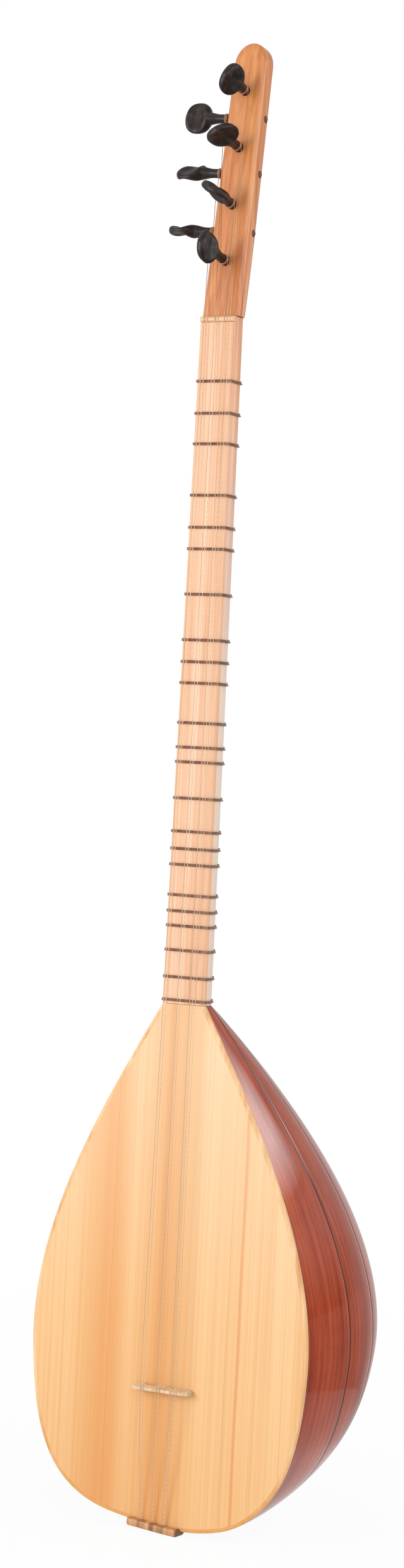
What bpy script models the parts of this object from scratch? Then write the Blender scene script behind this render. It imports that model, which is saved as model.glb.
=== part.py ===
"""Long-necked lute with a ribbed bowl, seven strings, tied frets and turned pegs.

Metres, +Z up. The origin is the middle of the fingerboard face at the nut. The strings face -Y,
the neck and the bowl lie below the origin and the peghead stands above it.
"""
import math

import bmesh
import bpy
import numpy as np
from mathutils import Matrix, Vector

# Clearance between pieces that touch, and round pieces that move
GAP = 0.0003
FRET_CLEARANCE = 0.0004
BLOCK_CLEARANCE = 0.0009
COIL_CLEARANCE = 0.0005
BRIDGE_STRING_CLEARANCE = 0.0007
NUT_STRING_CLEARANCE = 0.0003

# Scale and frets, places in cents above the open string
SCALE_LENGTH = 0.880
FRET_CENTS = (97, 152, 206, 301, 363, 406, 500, 600, 650, 700, 798, 861,
              900, 1000, 1097, 1150, 1200, 1300, 1355, 1407, 1497, 1602, 1697)
LAST_FRET_TO_JOINT = 0.0032
FRET_WIDTH = 0.0024
FRET_THICKNESS = 0.0008
FRET_BEVEL = 0.0005

# Neck and fingerboard; the neck ends a little below its last fret
NECK_LENGTH = SCALE_LENGTH * (1 - 2 ** (-FRET_CENTS[-1] / 1200)) + LAST_FRET_TO_JOINT
NUT_HALF_WIDTH = 0.0154
JOINT_HALF_WIDTH = 0.0196
NUT_DEPTH = 0.026
JOINT_DEPTH = 0.0265
NECK_FULLNESS = 3.0
JOINT_FULLNESS = 2.3
FINGERBOARD_THICKNESS = 0.003

# Nut
NUT_LENGTH = 0.0045
NUT_HEIGHT = 0.0015
NUT_BEVEL = 0.00135

# Bowl, depths measured from the soundboard face; places above the tail.
# Its width and depth are those before the curves that close the tail draw them in.
BODY_LENGTH = 0.4205
BODY_HALF_WIDTH = 0.130
BODY_DEPTH = 0.248
BOWL_FULLNESS = 2.56
FULLNESS_BLEND = 0.063
RIM_WIDEST_PLACE = 0.1312
RIM_TAIL_POWER = 8.36
RIM_TAIL_CURVE = 0.37
KEEL_DEEPEST_PLACE = 0.1246
KEEL_SWELL = 0.92
KEEL_TAIL_POWER = 9.05
KEEL_TAIL_CURVE = 1.0
RIB_THICKNESS = 0.003
RIB_COUNT = 9
SIDE_RIB_WIDTH = 0.077
INNER_RIB_WIDTH = 0.064
RIB_END_PLACE = 0.0063
TAIL_BLOCK_END_PLACE = 0.0014
NECK_BLOCK_LENGTH = 0.045

# Soundboard; one brace placed from the neck joint and one from the tail
BOARD_THICKNESS = 0.003
BINDING_WIDTH = 0.003
CENTRE_BOARD_HALF_WIDTH = 0.055
BRACE_HEIGHT = 0.010
BRACE_THICKNESS = 0.006
UPPER_BRACE_BELOW_JOINT = 0.168
LOWER_BRACE_ABOVE_TAIL = 0.080

# Peghead; its back edges are rounder at the foot, where it grows out of the neck
HEAD_LENGTH = 0.231
HEAD_LEAN = math.radians(7.6)
HEAD_FOOT_HALF_WIDTH = 0.0175
HEAD_TOP_HALF_WIDTH = 0.015
HEAD_FOOT_DEPTH = 0.0195
HEAD_TOP_DEPTH = 0.0205
HEAD_EDGE_RADIUS = 0.005
HEAD_BACK_RADIUS = 0.009
HEAD_FOOT_BACK_RADIUS = 0.012
HEAD_BLEND = 0.08
HEAD_FOOT_MARGIN = 0.0013
HEAD_CROWN = 0.018
CROWN_THINNING = 0.4

# Pegs, lengths measured outwards from the peghead; the shank tapers inwards.
# Some front pegs are pushed further into the head than the others.
PEG_SHANK_RADIUS = 0.00375
PEG_TAPER = 1 / 18
PEG_REACH = 0.0448
PEG_TIP = 0.0005
PEG_TIP_BEVEL = 0.0005
PEG_BLADE_CENTRE = 0.0322
PEG_BLADE_HALF_WIDTH = 0.013
PEG_BLADE_HALF_LENGTH = 0.012
PEG_BELLY_PLACE = 0.0235
PEG_BELLY_HALF_THICKNESS = 0.00545
PEG_WAIST_PLACE = 0.0335
PEG_WAIST_HALF_THICKNESS = 0.0025
PEG_BEAD_PLACE = 0.04
PEG_BEAD_HALF_THICKNESS = 0.0042
PEG_STRAIGHT = 0.011
PEG_RISE = math.radians(4)
SIDE_PEG_DEPTH = 0.0108
FRONT_PEG_PLACES = (0.0457, 0.093, 0.141, 0.1888)
FRONT_PEG_TURNS = (90, -31, 25, 65)
FRONT_PEG_PUSHES = (0, 0.0035, 0.004, 0.0075)
SIDE_PEG_PLACES = (0.0738, 0.1234, 0.1698)
SIDE_PEG_TURNS = (79, 55, 0)
HOLE_SIDES = 16
HOLE_MARGIN = 0.005

# Bridge
BRIDGE_OFFSET = 0.015
BRIDGE_HALF_LENGTH = 0.0265
BRIDGE_HEIGHT = 0.011
BRIDGE_FOOT_THICKNESS = 0.006
BRIDGE_TOP_THICKNESS = 0.0022
BRIDGE_FOOT_HALF_LENGTH = 0.0045
BRIDGE_ARCH_HEIGHT = 0.0035
BRIDGE_END_HEIGHT = 0.007
BRIDGE_STRING_MARGIN = 0.002

# The tail's edge falls a little towards the right; places across, above the tail and behind
TAIL_SLANT = 0.0043
SLANT_RISES = (-0.045, 0.030)
SLANT_FADES = (0.060, 0.115)
SLANT_HEIGHTS = (0.029, 0.084)
SLANT_DEPTH = 0.1

# Tailpiece over the lower rim
TAILPIECE_CENTRE = -0.0033
TAILPIECE_HALF_WIDTH = 0.0235
TAILPIECE_LIP = 0.0025
TAILPIECE_BODY = 0.0038
TAILPIECE_PROUD = 0.006
TAILPIECE_DEPTH = 0.008
TAILPIECE_ROUNDING = 0.002
TAILPIECE_END_BEVEL = 0.002
HITCH_HEIGHT = 0.003

# Strings, one value for each from the left
NUT_PLACES = (-0.0113, -0.0087, -0.0013, 0.0013, 0.0074, 0.0100, 0.0126)
BRIDGE_PLACES = (-0.0162, -0.0136, -0.0013, 0.0013, 0.0120, 0.0146, 0.0172)
HITCH_PLACES = (-0.0159, -0.0151, -0.0044, -0.0036, 0.0058, 0.0066, 0.0074)
STRING_RADII = (0.00025, 0.00025, 0.00025, 0.00025, 0.00025, 0.0002, 0.0002)
COIL_TURNS = 2.25
COIL_PITCH = 0.0011
COIL_POINTS = 24
COIL_START = 0.0033
COIL_TAIL = 0.003
BEND_BELOW_PEG = 0.021
BEND_DEPTH = 0.001
BEND_CLEARANCE = 0.0008


def make_material(name, colour, roughness, metallic=0.0):
    """One Principled material."""
    material = bpy.data.materials.new(name)
    material.use_nodes = True
    shader = material.node_tree.nodes["Principled BSDF"]
    shader.inputs["Base Color"].default_value = (*colour, 1)
    shader.inputs["Roughness"].default_value = roughness
    shader.inputs["Metallic"].default_value = metallic
    material.diffuse_color = (*colour, 1)
    return material


def ease(value, low, high):
    """0 below low, 1 above high, and a smooth cubic between them."""
    share = np.clip((np.asarray(value) - low) / (high - low), 0, 1)
    return share * share * (3 - 2 * share)


def slanted(points):
    """The points, lowered near the tail by its slant: most right of its middle and at the rim."""
    points = np.array(points, dtype=float)
    x, y, z = points[:, 0], points[:, 1], points[:, 2]
    above = z + NECK_LENGTH + GAP + BODY_LENGTH
    across = ease(x, *SLANT_RISES) * (1 - ease(x, *SLANT_FADES))
    behind = 1 - ease(y, BOARD_THICKNESS + GAP, SLANT_DEPTH)
    points[:, 2] -= TAIL_SLANT * across * behind * (1 - ease(above, *SLANT_HEIGHTS))
    return points


def add_solid(name, points, faces, material, sharp_angle=35):
    """A mesh object from points and faces, with its faces turned outwards."""
    mesh = bpy.data.meshes.new(name)
    mesh.from_pydata([tuple(point) for point in slanted(points)], [], faces)
    work = bmesh.new()
    work.from_mesh(mesh)
    bmesh.ops.remove_doubles(work, verts=work.verts, dist=1e-6)
    bmesh.ops.recalc_face_normals(work, faces=work.faces)
    work.to_mesh(mesh)
    work.free()
    mesh.materials.append(material)
    mesh.shade_smooth()
    mesh.set_sharp_from_angle(angle=math.radians(sharp_angle))
    piece = bpy.data.objects.new(name, mesh)
    bpy.context.collection.objects.link(piece)
    return piece


def grid_faces(rows, columns, start=0, wrap=False):
    """Quads of a grid of points; wrap joins the last column to the first."""
    last = columns if wrap else columns - 1
    faces = []
    for row in range(rows - 1):
        for column in range(last):
            after = (column + 1) % columns
            a = start + row * columns + column
            b = start + row * columns + after
            faces.append((a, b, b + columns, a + columns))
    return faces


def add_loft(name, rings, material, sharp_angle=35):
    """A solid through closed rings of points, with a flat face on each end."""
    rings = np.asarray(rings)
    count, size = rings.shape[:2]
    faces = grid_faces(count, size, wrap=True)
    faces.append(tuple(range(size)))
    faces.append(tuple(range((count - 1) * size, count * size)))
    return add_solid(name, rings.reshape(-1, 3), faces, material, sharp_angle)


def add_shell(name, outer, inner, material):
    """A solid between two equal grids of points, joined round their edges."""
    rows, columns = outer.shape[:2]
    size = rows * columns
    faces = grid_faces(rows, columns) + grid_faces(rows, columns, start=size)
    border = [column for column in range(columns)]
    border += [row * columns + columns - 1 for row in range(1, rows)]
    border += [(rows - 1) * columns + column for column in range(columns - 2, -1, -1)]
    border += [row * columns for row in range(rows - 2, 0, -1)]
    for here, after in zip(border, border[1:] + border[:1]):
        faces.append((here, after, size + after, size + here))
    points = np.concatenate([outer.reshape(-1, 3), inner.reshape(-1, 3)])
    return add_solid(name, points, faces, material)


def add_plate(name, outline, front, back, material):
    """A flat board: an outline of (x, z) points, between two depths."""
    rings = [[(x, depth, z) for x, z in outline] for depth in (front, back)]
    return add_loft(name, rings, material)


# Outline and depth of the bowl

def body_z(u):
    """Height at the share u of the body's length, from the neck joint to the tail."""
    return -NECK_LENGTH - GAP - u * BODY_LENGTH


def above_tail(place):
    """Share of the body's length at a place above the tail."""
    return 1 - place / BODY_LENGTH


def rim_half_width(u):
    """Quarter sine from the joint's half width to the widest place, closed at the tail."""
    start = JOINT_HALF_WIDTH / BODY_HALF_WIDTH
    swell = np.sin(np.pi / 2 * np.minimum(np.asarray(u) / above_tail(RIM_WIDEST_PLACE), 1))
    close = (1 - np.asarray(u) ** RIM_TAIL_POWER) ** RIM_TAIL_CURVE
    return BODY_HALF_WIDTH * (start + (1 - start) * swell) * close


def bowl_depth(u):
    """A power of a quarter sine from the joint's depth to the deepest place, closed at the tail."""
    start = JOINT_DEPTH / BODY_DEPTH
    swell = np.sin(np.pi / 2 * np.minimum(np.asarray(u) / above_tail(KEEL_DEEPEST_PLACE), 1))
    close = (1 - np.asarray(u) ** KEEL_TAIL_POWER) ** KEEL_TAIL_CURVE
    return BODY_DEPTH * (start + (1 - start) * swell ** KEEL_SWELL) * close


def bowl_fullness(u):
    """Power of the bowl's section: the neck's at the joint, the bowl's own below the blend."""
    rest = max(1 - u * BODY_LENGTH / FULLNESS_BLEND, 0)
    return BOWL_FULLNESS + (JOINT_FULLNESS - BOWL_FULLNESS) * rest ** 2


def slope(size, u):
    """Change of a size of the bowl for each metre down the body, from a central difference."""
    step = 1e-4
    low = max(u - step, 0)
    high = min(u + step, 1)
    return (size(high) - size(low)) / ((high - low) * BODY_LENGTH)


def section_points(half_width, depth, fullness, top, shares):
    """Places x, y on |x/half_width|^p + (y/depth)^p = 1 behind y = top, and its length.

    The shares run from 0 at the right edge to 1 at the left edge, in equal parts of the length.
    """
    first = math.asin((top / depth) ** (fullness / 2))
    angle = np.linspace(first, math.pi - first, 601)
    x = half_width * np.sign(np.cos(angle)) * np.abs(np.cos(angle)) ** (2 / fullness)
    y = depth * np.sin(angle) ** (2 / fullness)
    length = np.concatenate([[0], np.cumsum(np.hypot(np.diff(x), np.diff(y)))])
    shares = np.asarray(shares) * length[-1]
    return np.interp(shares, length, x), np.interp(shares, length, y), length[-1]


def bowl_normals(x, y, u):
    """Outward normals of the bowl, from the gradient of its section's formula."""
    half_width = rim_half_width(u)
    depth = bowl_depth(u)
    p = bowl_fullness(u)
    across = (np.abs(x) / half_width) ** p
    down = (y / depth) ** p
    normal = np.column_stack([
        across / np.where(np.abs(x) < 1e-6, 1, x),
        down / y,
        across * slope(rim_half_width, u) / half_width + down * slope(bowl_depth, u) / depth])
    return normal / np.linalg.norm(normal, axis=1)[:, None]


BOWL_TOP = BOARD_THICKNESS + GAP
RIB_STATIONS = above_tail(RIB_END_PLACE) * (1 - (1 - np.linspace(0, 1, 22) ** 1.2) ** 1.4)
RIB_POINTS = 5


def rib_edges():
    """Shares of the girth at which the ribs meet: a wide rib at each side, equal ones between."""
    widths = [SIDE_RIB_WIDTH] + [INNER_RIB_WIDTH] * (RIB_COUNT - 2) + [SIDE_RIB_WIDTH]
    return np.concatenate([[0], np.cumsum(widths)]) / sum(widths)


def add_rib(name, first, last, material):
    """One rib: the strip of the bowl between two shares of its girth, RIB_THICKNESS thick."""
    outer = []
    inner = []
    for u in RIB_STATIONS:
        half_width = rim_half_width(u)
        depth = bowl_depth(u)
        fullness = bowl_fullness(u)
        girth = section_points(half_width, depth, fullness, BOWL_TOP, [1])[2]
        low = first + (GAP / 2 / girth if first > 0 else 0)
        high = last - (GAP / 2 / girth if last < 1 else 0)
        shares = np.linspace(low, high, RIB_POINTS)
        x, y, _ = section_points(half_width, depth, fullness, BOWL_TOP, shares)
        row = np.column_stack([x, y, np.full(RIB_POINTS, body_z(u))])
        under = row - RIB_THICKNESS * bowl_normals(x, y, u)
        if first == 0:
            under[0, 1] = BOWL_TOP
        if last == 1:
            under[-1, 1] = BOWL_TOP
        outer.append(row)
        inner.append(under)
    return add_shell(name, np.array(outer), np.array(inner), material)


def block_rings(shares, wall, points):
    """Rings across the bowl, drawn in by a wall's thickness, with a flat side at the soundboard."""
    rings = []
    for u in shares:
        half_width = rim_half_width(u) - wall * math.hypot(1, slope(rim_half_width, u))
        depth = bowl_depth(u) - wall * math.hypot(1, slope(bowl_depth, u))
        x, y, _ = section_points(half_width, depth, bowl_fullness(u), BOWL_TOP, np.linspace(0, 1, points))
        rings.append(np.column_stack([x, y, np.full(points, body_z(u))]))
    return rings


def add_body(wood, dark_wood):
    """Ribs, the block that the neck is joined to, and the block that closes the tail."""
    edges = rib_edges()
    for number in range(RIB_COUNT):
        add_rib(f"rib_{number + 1}", edges[number], edges[number + 1], wood)
    neck_block = np.linspace(GAP, NECK_BLOCK_LENGTH, 4) / BODY_LENGTH
    add_loft("neck_block", block_rings(neck_block, RIB_THICKNESS + BLOCK_CLEARANCE, 13), dark_wood)
    first = RIB_END_PLACE - GAP
    tail_block = above_tail(first + (TAIL_BLOCK_END_PLACE - first) * np.array([0, 0.45, 0.8, 1]))
    add_loft("tail_block", block_rings(tail_block, 0, 25), wood)


# Soundboard

def rim_line(inset, points=26):
    """Right half of the outline, moved inwards by an inset, from the joint to the tail's middle."""
    u = 1 - (1 - np.linspace(0, 1, points)) ** 2
    line = np.column_stack([rim_half_width(u), body_z(u)])
    if inset == 0:
        return line
    along = np.gradient(line, axis=0)
    along[-1] = (-1, 0)
    along /= np.linalg.norm(along, axis=1)[:, None]
    line = line + inset * np.column_stack([along[:, 1], -along[:, 0]])
    reach = (body_z(0) - line[0, 1]) / (line[0, 1] - line[1, 1])
    line[0] += (line[0] - line[1]) * reach
    return line


def add_binding(material):
    """The edge strip: a square section carried round the outline from joint to joint."""
    outer = rim_line(0)
    inner = rim_line(BINDING_WIDTH)
    mirror = np.array([-1, 1])
    outer = np.concatenate([outer, (outer * mirror)[-2::-1]])
    inner = np.concatenate([inner, (inner * mirror)[-2::-1]])
    rings = [[(a[0], 0, a[1]), (a[0], BOARD_THICKNESS, a[1]), (b[0], BOARD_THICKNESS, b[1]), (b[0], 0, b[1])]
             for a, b in zip(outer, inner)]
    add_loft("edge_binding", rings, material)


def add_soundboard(material):
    """Three boards inside the binding, and two braces glued under them."""
    line = rim_line(BINDING_WIDTH + GAP)
    widest = int(np.argmax(line[:, 0]))

    def crossings(x):
        upper = np.interp(x, line[:widest + 1, 0], line[:widest + 1, 1])
        lower = np.interp(x, line[:widest - 1:-1, 0], line[:widest - 1:-1, 1])
        return upper, lower

    inner_edge = CENTRE_BOARD_HALF_WIDTH - GAP / 2
    upper, lower = crossings(inner_edge)
    half = [tuple(point) for point in line if point[0] < inner_edge and point[1] > upper]
    half += [(inner_edge, upper), (inner_edge, lower)]
    half += [tuple(point) for point in line if point[0] < inner_edge and point[1] < lower]
    outline = half + [(-x, z) for x, z in half[-2::-1]]
    add_plate("soundboard_centre", outline, 0, BOARD_THICKNESS, material)

    outer_edge = CENTRE_BOARD_HALF_WIDTH + GAP / 2
    upper, lower = crossings(outer_edge)
    wing = [(outer_edge, upper)] + [tuple(point) for point in line if point[0] > outer_edge]
    wing += [(outer_edge, lower)]
    add_plate("soundboard_wing_right", wing, 0, BOARD_THICKNESS, material)
    add_plate("soundboard_wing_left", [(-x, z) for x, z in wing], 0, BOARD_THICKNESS, material)

    places = {"brace_upper": UPPER_BRACE_BELOW_JOINT / BODY_LENGTH,
              "brace_lower": above_tail(LOWER_BRACE_ABOVE_TAIL)}
    for name, u in places.items():
        half_step = BRACE_THICKNESS / 2 / BODY_LENGTH
        reach = BODY_HALF_WIDTH
        for edge in (u - half_step, u + half_step):
            wall = (RIB_THICKNESS + BLOCK_CLEARANCE) * math.hypot(1, slope(rim_half_width, edge))
            reach = min(reach, rim_half_width(edge) - wall)
        z = body_z(u)
        low = z - BRACE_THICKNESS / 2
        high = z + BRACE_THICKNESS / 2
        add_plate(name, [(-reach, low), (reach, low), (reach, high), (-reach, high)],
                  BOWL_TOP, BOWL_TOP + BRACE_HEIGHT, material)


# Neck, fingerboard and frets

def neck_share(z):
    return min(max(-z / NECK_LENGTH, 0), 1)


def neck_half_width(z):
    return NUT_HALF_WIDTH + (JOINT_HALF_WIDTH - NUT_HALF_WIDTH) * neck_share(z)


def neck_ring(z, proud=0.0):
    """The neck's back at height z, grown by proud: a superellipse behind the fingerboard."""
    share = neck_share(z)
    half_width = neck_half_width(z) + proud
    depth = NUT_DEPTH + (JOINT_DEPTH - NUT_DEPTH) * share + proud
    fullness = NECK_FULLNESS + (JOINT_FULLNESS - NECK_FULLNESS) * share
    x, y, _ = section_points(half_width, depth, fullness, FINGERBOARD_THICKNESS, np.linspace(0, 1, 13))
    return np.column_stack([x, y, np.full(x.size, z)])


def add_neck(wood, face_wood, bone):
    """Neck, fingerboard glued on its face, and the nut at its upper end."""
    top = NUT_LENGTH + GAP
    add_loft("neck", [neck_ring(z) for z in np.linspace(top, -NECK_LENGTH, 12)], wood)

    board_back = FINGERBOARD_THICKNESS - GAP
    board = [(-NUT_HALF_WIDTH, -GAP), (NUT_HALF_WIDTH, -GAP),
             (JOINT_HALF_WIDTH, -NECK_LENGTH), (-JOINT_HALF_WIDTH, -NECK_LENGTH)]
    add_plate("fingerboard", board, 0, board_back, face_wood)

    profile = [(board_back, 0), (board_back, NUT_LENGTH), (-NUT_HEIGHT + NUT_BEVEL, NUT_LENGTH),
               (-NUT_HEIGHT, NUT_LENGTH - NUT_BEVEL), (-NUT_HEIGHT, NUT_BEVEL), (-NUT_HEIGHT + NUT_BEVEL, 0)]
    rings = [[(x, y, z) for y, z in profile] for x in (-NUT_HALF_WIDTH, NUT_HALF_WIDTH)]
    add_loft("nut", rings, bone)


def fret_places():
    """Heights of the frets, from the nut down."""
    return [-SCALE_LENGTH * (1 - 2 ** (-cents / 1200)) for cents in FRET_CENTS]


def fret_loop(z, proud):
    """A closed loop round the neck and the fingerboard, standing proud of them."""
    back = neck_ring(z, proud)
    side = neck_half_width(z) + proud
    return np.concatenate([back, [(-side, -proud, z), (side, -proud, z)]])


def add_frets(material):
    """Each tied fret is a band whose section is wide on the neck and narrower outside."""
    for number, z in enumerate(fret_places(), start=1):
        low = FRET_CLEARANCE
        high = FRET_CLEARANCE + FRET_THICKNESS
        half = FRET_WIDTH / 2
        loops = []
        for proud, shift in ((low, half), (high, half - FRET_BEVEL), (high, FRET_BEVEL - half), (low, -half)):
            loop = fret_loop(z, proud)
            loop[:, 2] = shift
            loops.append(loop)
        rings = np.array(loops)
        size = rings.shape[1]
        faces = grid_faces(len(loops), size, wrap=True)
        for column in range(size):
            after = (column + 1) % size
            foot = (len(loops) - 1) * size
            faces.append((foot + column, foot + after, after, column))
        fret = add_solid(f"fret_{number:02d}", rings.reshape(-1, 3), faces, material)
        fret.location = (0, 0, z)


# Peghead and pegs

HEAD_UP = Vector((0, math.sin(HEAD_LEAN), math.cos(HEAD_LEAN)))
HEAD_OUT = Vector((0, -math.cos(HEAD_LEAN), math.sin(HEAD_LEAN)))
HEAD_START = Vector((0, FINGERBOARD_THICKNESS, NUT_LENGTH + 2 * GAP))


def head_half_width(t):
    return HEAD_FOOT_HALF_WIDTH + (HEAD_TOP_HALF_WIDTH - HEAD_FOOT_HALF_WIDTH) * t / HEAD_LENGTH


def head_depth(t):
    return HEAD_FOOT_DEPTH + (HEAD_TOP_DEPTH - HEAD_FOOT_DEPTH) * t / HEAD_LENGTH


def head_point(t, x, depth):
    """World place at t along the head, x across it and a depth behind its face."""
    return HEAD_START + HEAD_UP * t + Vector((x, 0, 0)) - HEAD_OUT * depth


def head_ring(t, share):
    """A rectangle with round corners across the head, drawn in by a share at the crown."""
    half_width = head_half_width(t) * share
    half_depth = head_depth(t) / 2 * (1 - CROWN_THINNING * (1 - share))
    rounder = max(1 - t / HEAD_BLEND, 0) ** 2
    back_radius = HEAD_BACK_RADIUS + (HEAD_FOOT_BACK_RADIUS - HEAD_BACK_RADIUS) * rounder
    middle = head_depth(t) / 2
    ring = []
    for corner, (side, face) in enumerate(((1, 1), (-1, 1), (-1, -1), (1, -1))):
        radius = (back_radius if face > 0 else HEAD_EDGE_RADIUS) * share
        for step in range(4):
            angle = math.radians(90 * corner + 30 * step)
            x = side * (half_width - radius) + radius * math.cos(angle)
            depth = face * (half_depth - radius) + radius * math.sin(angle)
            ring.append(head_point(t, x, middle + depth))
    return ring


def add_peghead(material):
    """A leaning bar with round edges and an arched crown, drilled for the pegs.

    Its foot is level, so its second ring stands clear of the foot's own slope.
    """
    straight = HEAD_LENGTH - HEAD_CROWN
    foot = HEAD_FOOT_DEPTH * math.tan(HEAD_LEAN) + HEAD_FOOT_MARGIN
    rings = [head_ring(t, 1) for t in (0, *np.linspace(foot, HEAD_BLEND, 4), straight)]
    rings[0] = [Vector((point.x, point.y, HEAD_START.z)) for point in rings[0]]
    for angle in np.radians((20, 38, 54, 68, 79)):
        rings.append(head_ring(straight + HEAD_CROWN * math.sin(angle), math.cos(angle)))
    head = add_loft("peghead", [[tuple(point) for point in ring] for ring in rings], material)

    reach = max(2 * HEAD_FOOT_HALF_WIDTH, HEAD_TOP_DEPTH) + HOLE_MARGIN
    corner = 1 / math.cos(math.pi / HOLE_SIDES)
    inner = (shank_radius(-reach) + GAP) * corner
    outer = (2 * PEG_SHANK_RADIUS - shank_radius(-reach) + GAP) * corner
    work = bmesh.new()
    for place, _, axis, _ in peg_places():
        turn = axis.to_track_quat("Z", "Y").to_matrix().to_4x4()
        bmesh.ops.create_cone(work, cap_ends=True, segments=HOLE_SIDES, radius1=inner, radius2=outer,
                              depth=2 * reach, matrix=Matrix.Translation(place) @ turn)
    mesh = bpy.data.meshes.new("peg_holes")
    work.to_mesh(mesh)
    work.free()
    cutter = bpy.data.objects.new("peg_holes", mesh)
    bpy.context.collection.objects.link(cutter)
    cutter.hide_render = True
    cutter.display_type = "WIRE"
    cut = head.modifiers.new("peg holes", "BOOLEAN")
    cut.object = cutter
    cut.operation = "DIFFERENCE"
    cut.solver = "EXACT"


def peg_places():
    """For each peg: mouth of its hole, depth of wood behind it, outward axis and direction across.

    All pegs rise a little towards the head's top. The front pegs come first.
    """
    across = Vector((1, 0, 0))
    along = 1 / math.cos(PEG_RISE)
    places = []
    axis = HEAD_OUT * math.cos(PEG_RISE) + HEAD_UP * math.sin(PEG_RISE)
    for t in FRONT_PEG_PLACES:
        places.append((head_point(t, 0, 0), head_depth(t) * along, axis, across))
    axis = -across * math.cos(PEG_RISE) + HEAD_UP * math.sin(PEG_RISE)
    for t in SIDE_PEG_PLACES:
        mouth = head_point(t, -head_half_width(t), SIDE_PEG_DEPTH)
        places.append((mouth, 2 * head_half_width(t) * along, axis, axis.cross(HEAD_OUT)))
    return places


def shank_radius(s):
    """The shank's radius, which shrinks from the mouth of the hole inwards."""
    return PEG_SHANK_RADIUS + min(s, 0) * PEG_TAPER / 2


def peg_half_width(s):
    """Round shank, then the blade's ellipse about its centre, then the button on its end."""
    blade = 1 - ((s - PEG_BLADE_CENTRE) / PEG_BLADE_HALF_LENGTH) ** 2
    ellipse = PEG_BLADE_HALF_WIDTH * math.sqrt(max(blade, 0))
    return max(ellipse, peg_half_thickness(s))


def peg_half_thickness(s):
    """Straight shank, swelling to the belly, hollowed to the waist and out again to the bead."""
    places = (PEG_STRAIGHT, PEG_BELLY_PLACE, PEG_WAIST_PLACE, PEG_BEAD_PLACE)
    sizes = (PEG_SHANK_RADIUS, PEG_BELLY_HALF_THICKNESS, PEG_WAIST_HALF_THICKNESS, PEG_BEAD_HALF_THICKNESS)
    if s <= places[0]:
        return shank_radius(s)
    for index in range(3):
        if s <= places[index + 1]:
            share = (s - places[index]) / (places[index + 1] - places[index])
            blend = (1 - math.cos(math.pi * share)) / 2
            return sizes[index] + (sizes[index + 1] - sizes[index]) * blend
    share = (s - PEG_BEAD_PLACE) / (PEG_REACH - PEG_BEAD_PLACE)
    return PEG_BEAD_HALF_THICKNESS * math.sqrt(max(1 - share ** 2, 0))


def add_peg(name, place, wood_depth, axis, across, turn, push, material):
    """A turned shank through the head, with a flat dished blade outside it.

    A peg that is pushed in stands less far out of the head.
    """
    angles = np.arange(12) * math.tau / 12
    tip = -wood_depth - PEG_TIP
    tip_radius = shank_radius(tip) - PEG_TIP_BEVEL
    outside = PEG_STRAIGHT + (PEG_REACH - PEG_STRAIGHT) * np.sin(np.linspace(0, 1, 13)[:-1] * math.pi / 2)
    rings = [[(tip_radius * math.cos(a), tip_radius * math.sin(a), tip) for a in angles]]
    places = [(tip + PEG_TIP_BEVEL, tip + PEG_TIP_BEVEL), (0, 0)] + [(s - push, s) for s in outside]
    for s, place_on_peg in places:
        half_width = peg_half_width(place_on_peg)
        half_thickness = peg_half_thickness(place_on_peg)
        rings.append([(half_width * math.cos(a), half_thickness * math.sin(a), s) for a in angles])
    peg = add_loft(name, rings, material, sharp_angle=50)
    frame = Matrix((across, axis.cross(across), axis)).transposed().to_4x4()
    peg.matrix_world = Matrix.Translation(place) @ frame @ Matrix.Rotation(math.radians(turn), 4, "Z")


def add_pegs(material):
    """Four pegs through the face of the head and three through its side."""
    names = [f"peg_front_{number + 1}" for number in range(len(FRONT_PEG_PLACES))]
    names += [f"peg_side_{number + 1}" for number in range(len(SIDE_PEG_PLACES))]
    turns = FRONT_PEG_TURNS + SIDE_PEG_TURNS
    pushes = FRONT_PEG_PUSHES + (0,) * len(SIDE_PEG_PLACES)
    for name, (place, depth, axis, across), turn, push in zip(names, peg_places(), turns, pushes):
        add_peg(name, place, depth, axis, across, turn, push, material)


# Bridge, tailpiece and strings

BRIDGE_Z = -SCALE_LENGTH + BRIDGE_OFFSET


def add_bridge(material):
    """A thin bridge with two end feet and a middle foot, thick at its feet and thin at its crown."""
    half = BRIDGE_HALF_LENGTH
    foot = BRIDGE_FOOT_HALF_LENGTH
    feet = ((-half, -half + 2 * foot), (-foot, foot), (half - 2 * foot, half))
    places = [(-half, 0), (-half + 2 * foot, 0)]
    for (_, left), (right, end) in zip(feet, feet[1:]):
        for share in (0.18, 0.5, 0.82):
            places.append((left + (right - left) * share, math.sin(math.pi * share) ** (1 / 3)))
        places += [(right, 0), (end, 0)]
    level = BRIDGE_PLACES[-1] + BRIDGE_STRING_MARGIN
    rings = []
    for x, arch in places:
        low = GAP + BRIDGE_ARCH_HEIGHT * arch
        share = max(0, (abs(x) - level) / (half - level))
        high = BRIDGE_HEIGHT - (BRIDGE_HEIGHT - BRIDGE_END_HEIGHT) * share ** 2
        ring = []
        for side, height in ((-1, low), (1, low), (1, high), (-1, high)):
            rise = height / BRIDGE_HEIGHT
            thickness = BRIDGE_FOOT_THICKNESS + (BRIDGE_TOP_THICKNESS - BRIDGE_FOOT_THICKNESS) * rise
            ring.append((x, -height, side * thickness / 2))
        rings.append(ring)
    bridge = add_loft("bridge", rings, material)
    bridge.location = (0, 0, BRIDGE_Z)


TAIL_Z = body_z(1)


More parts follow.
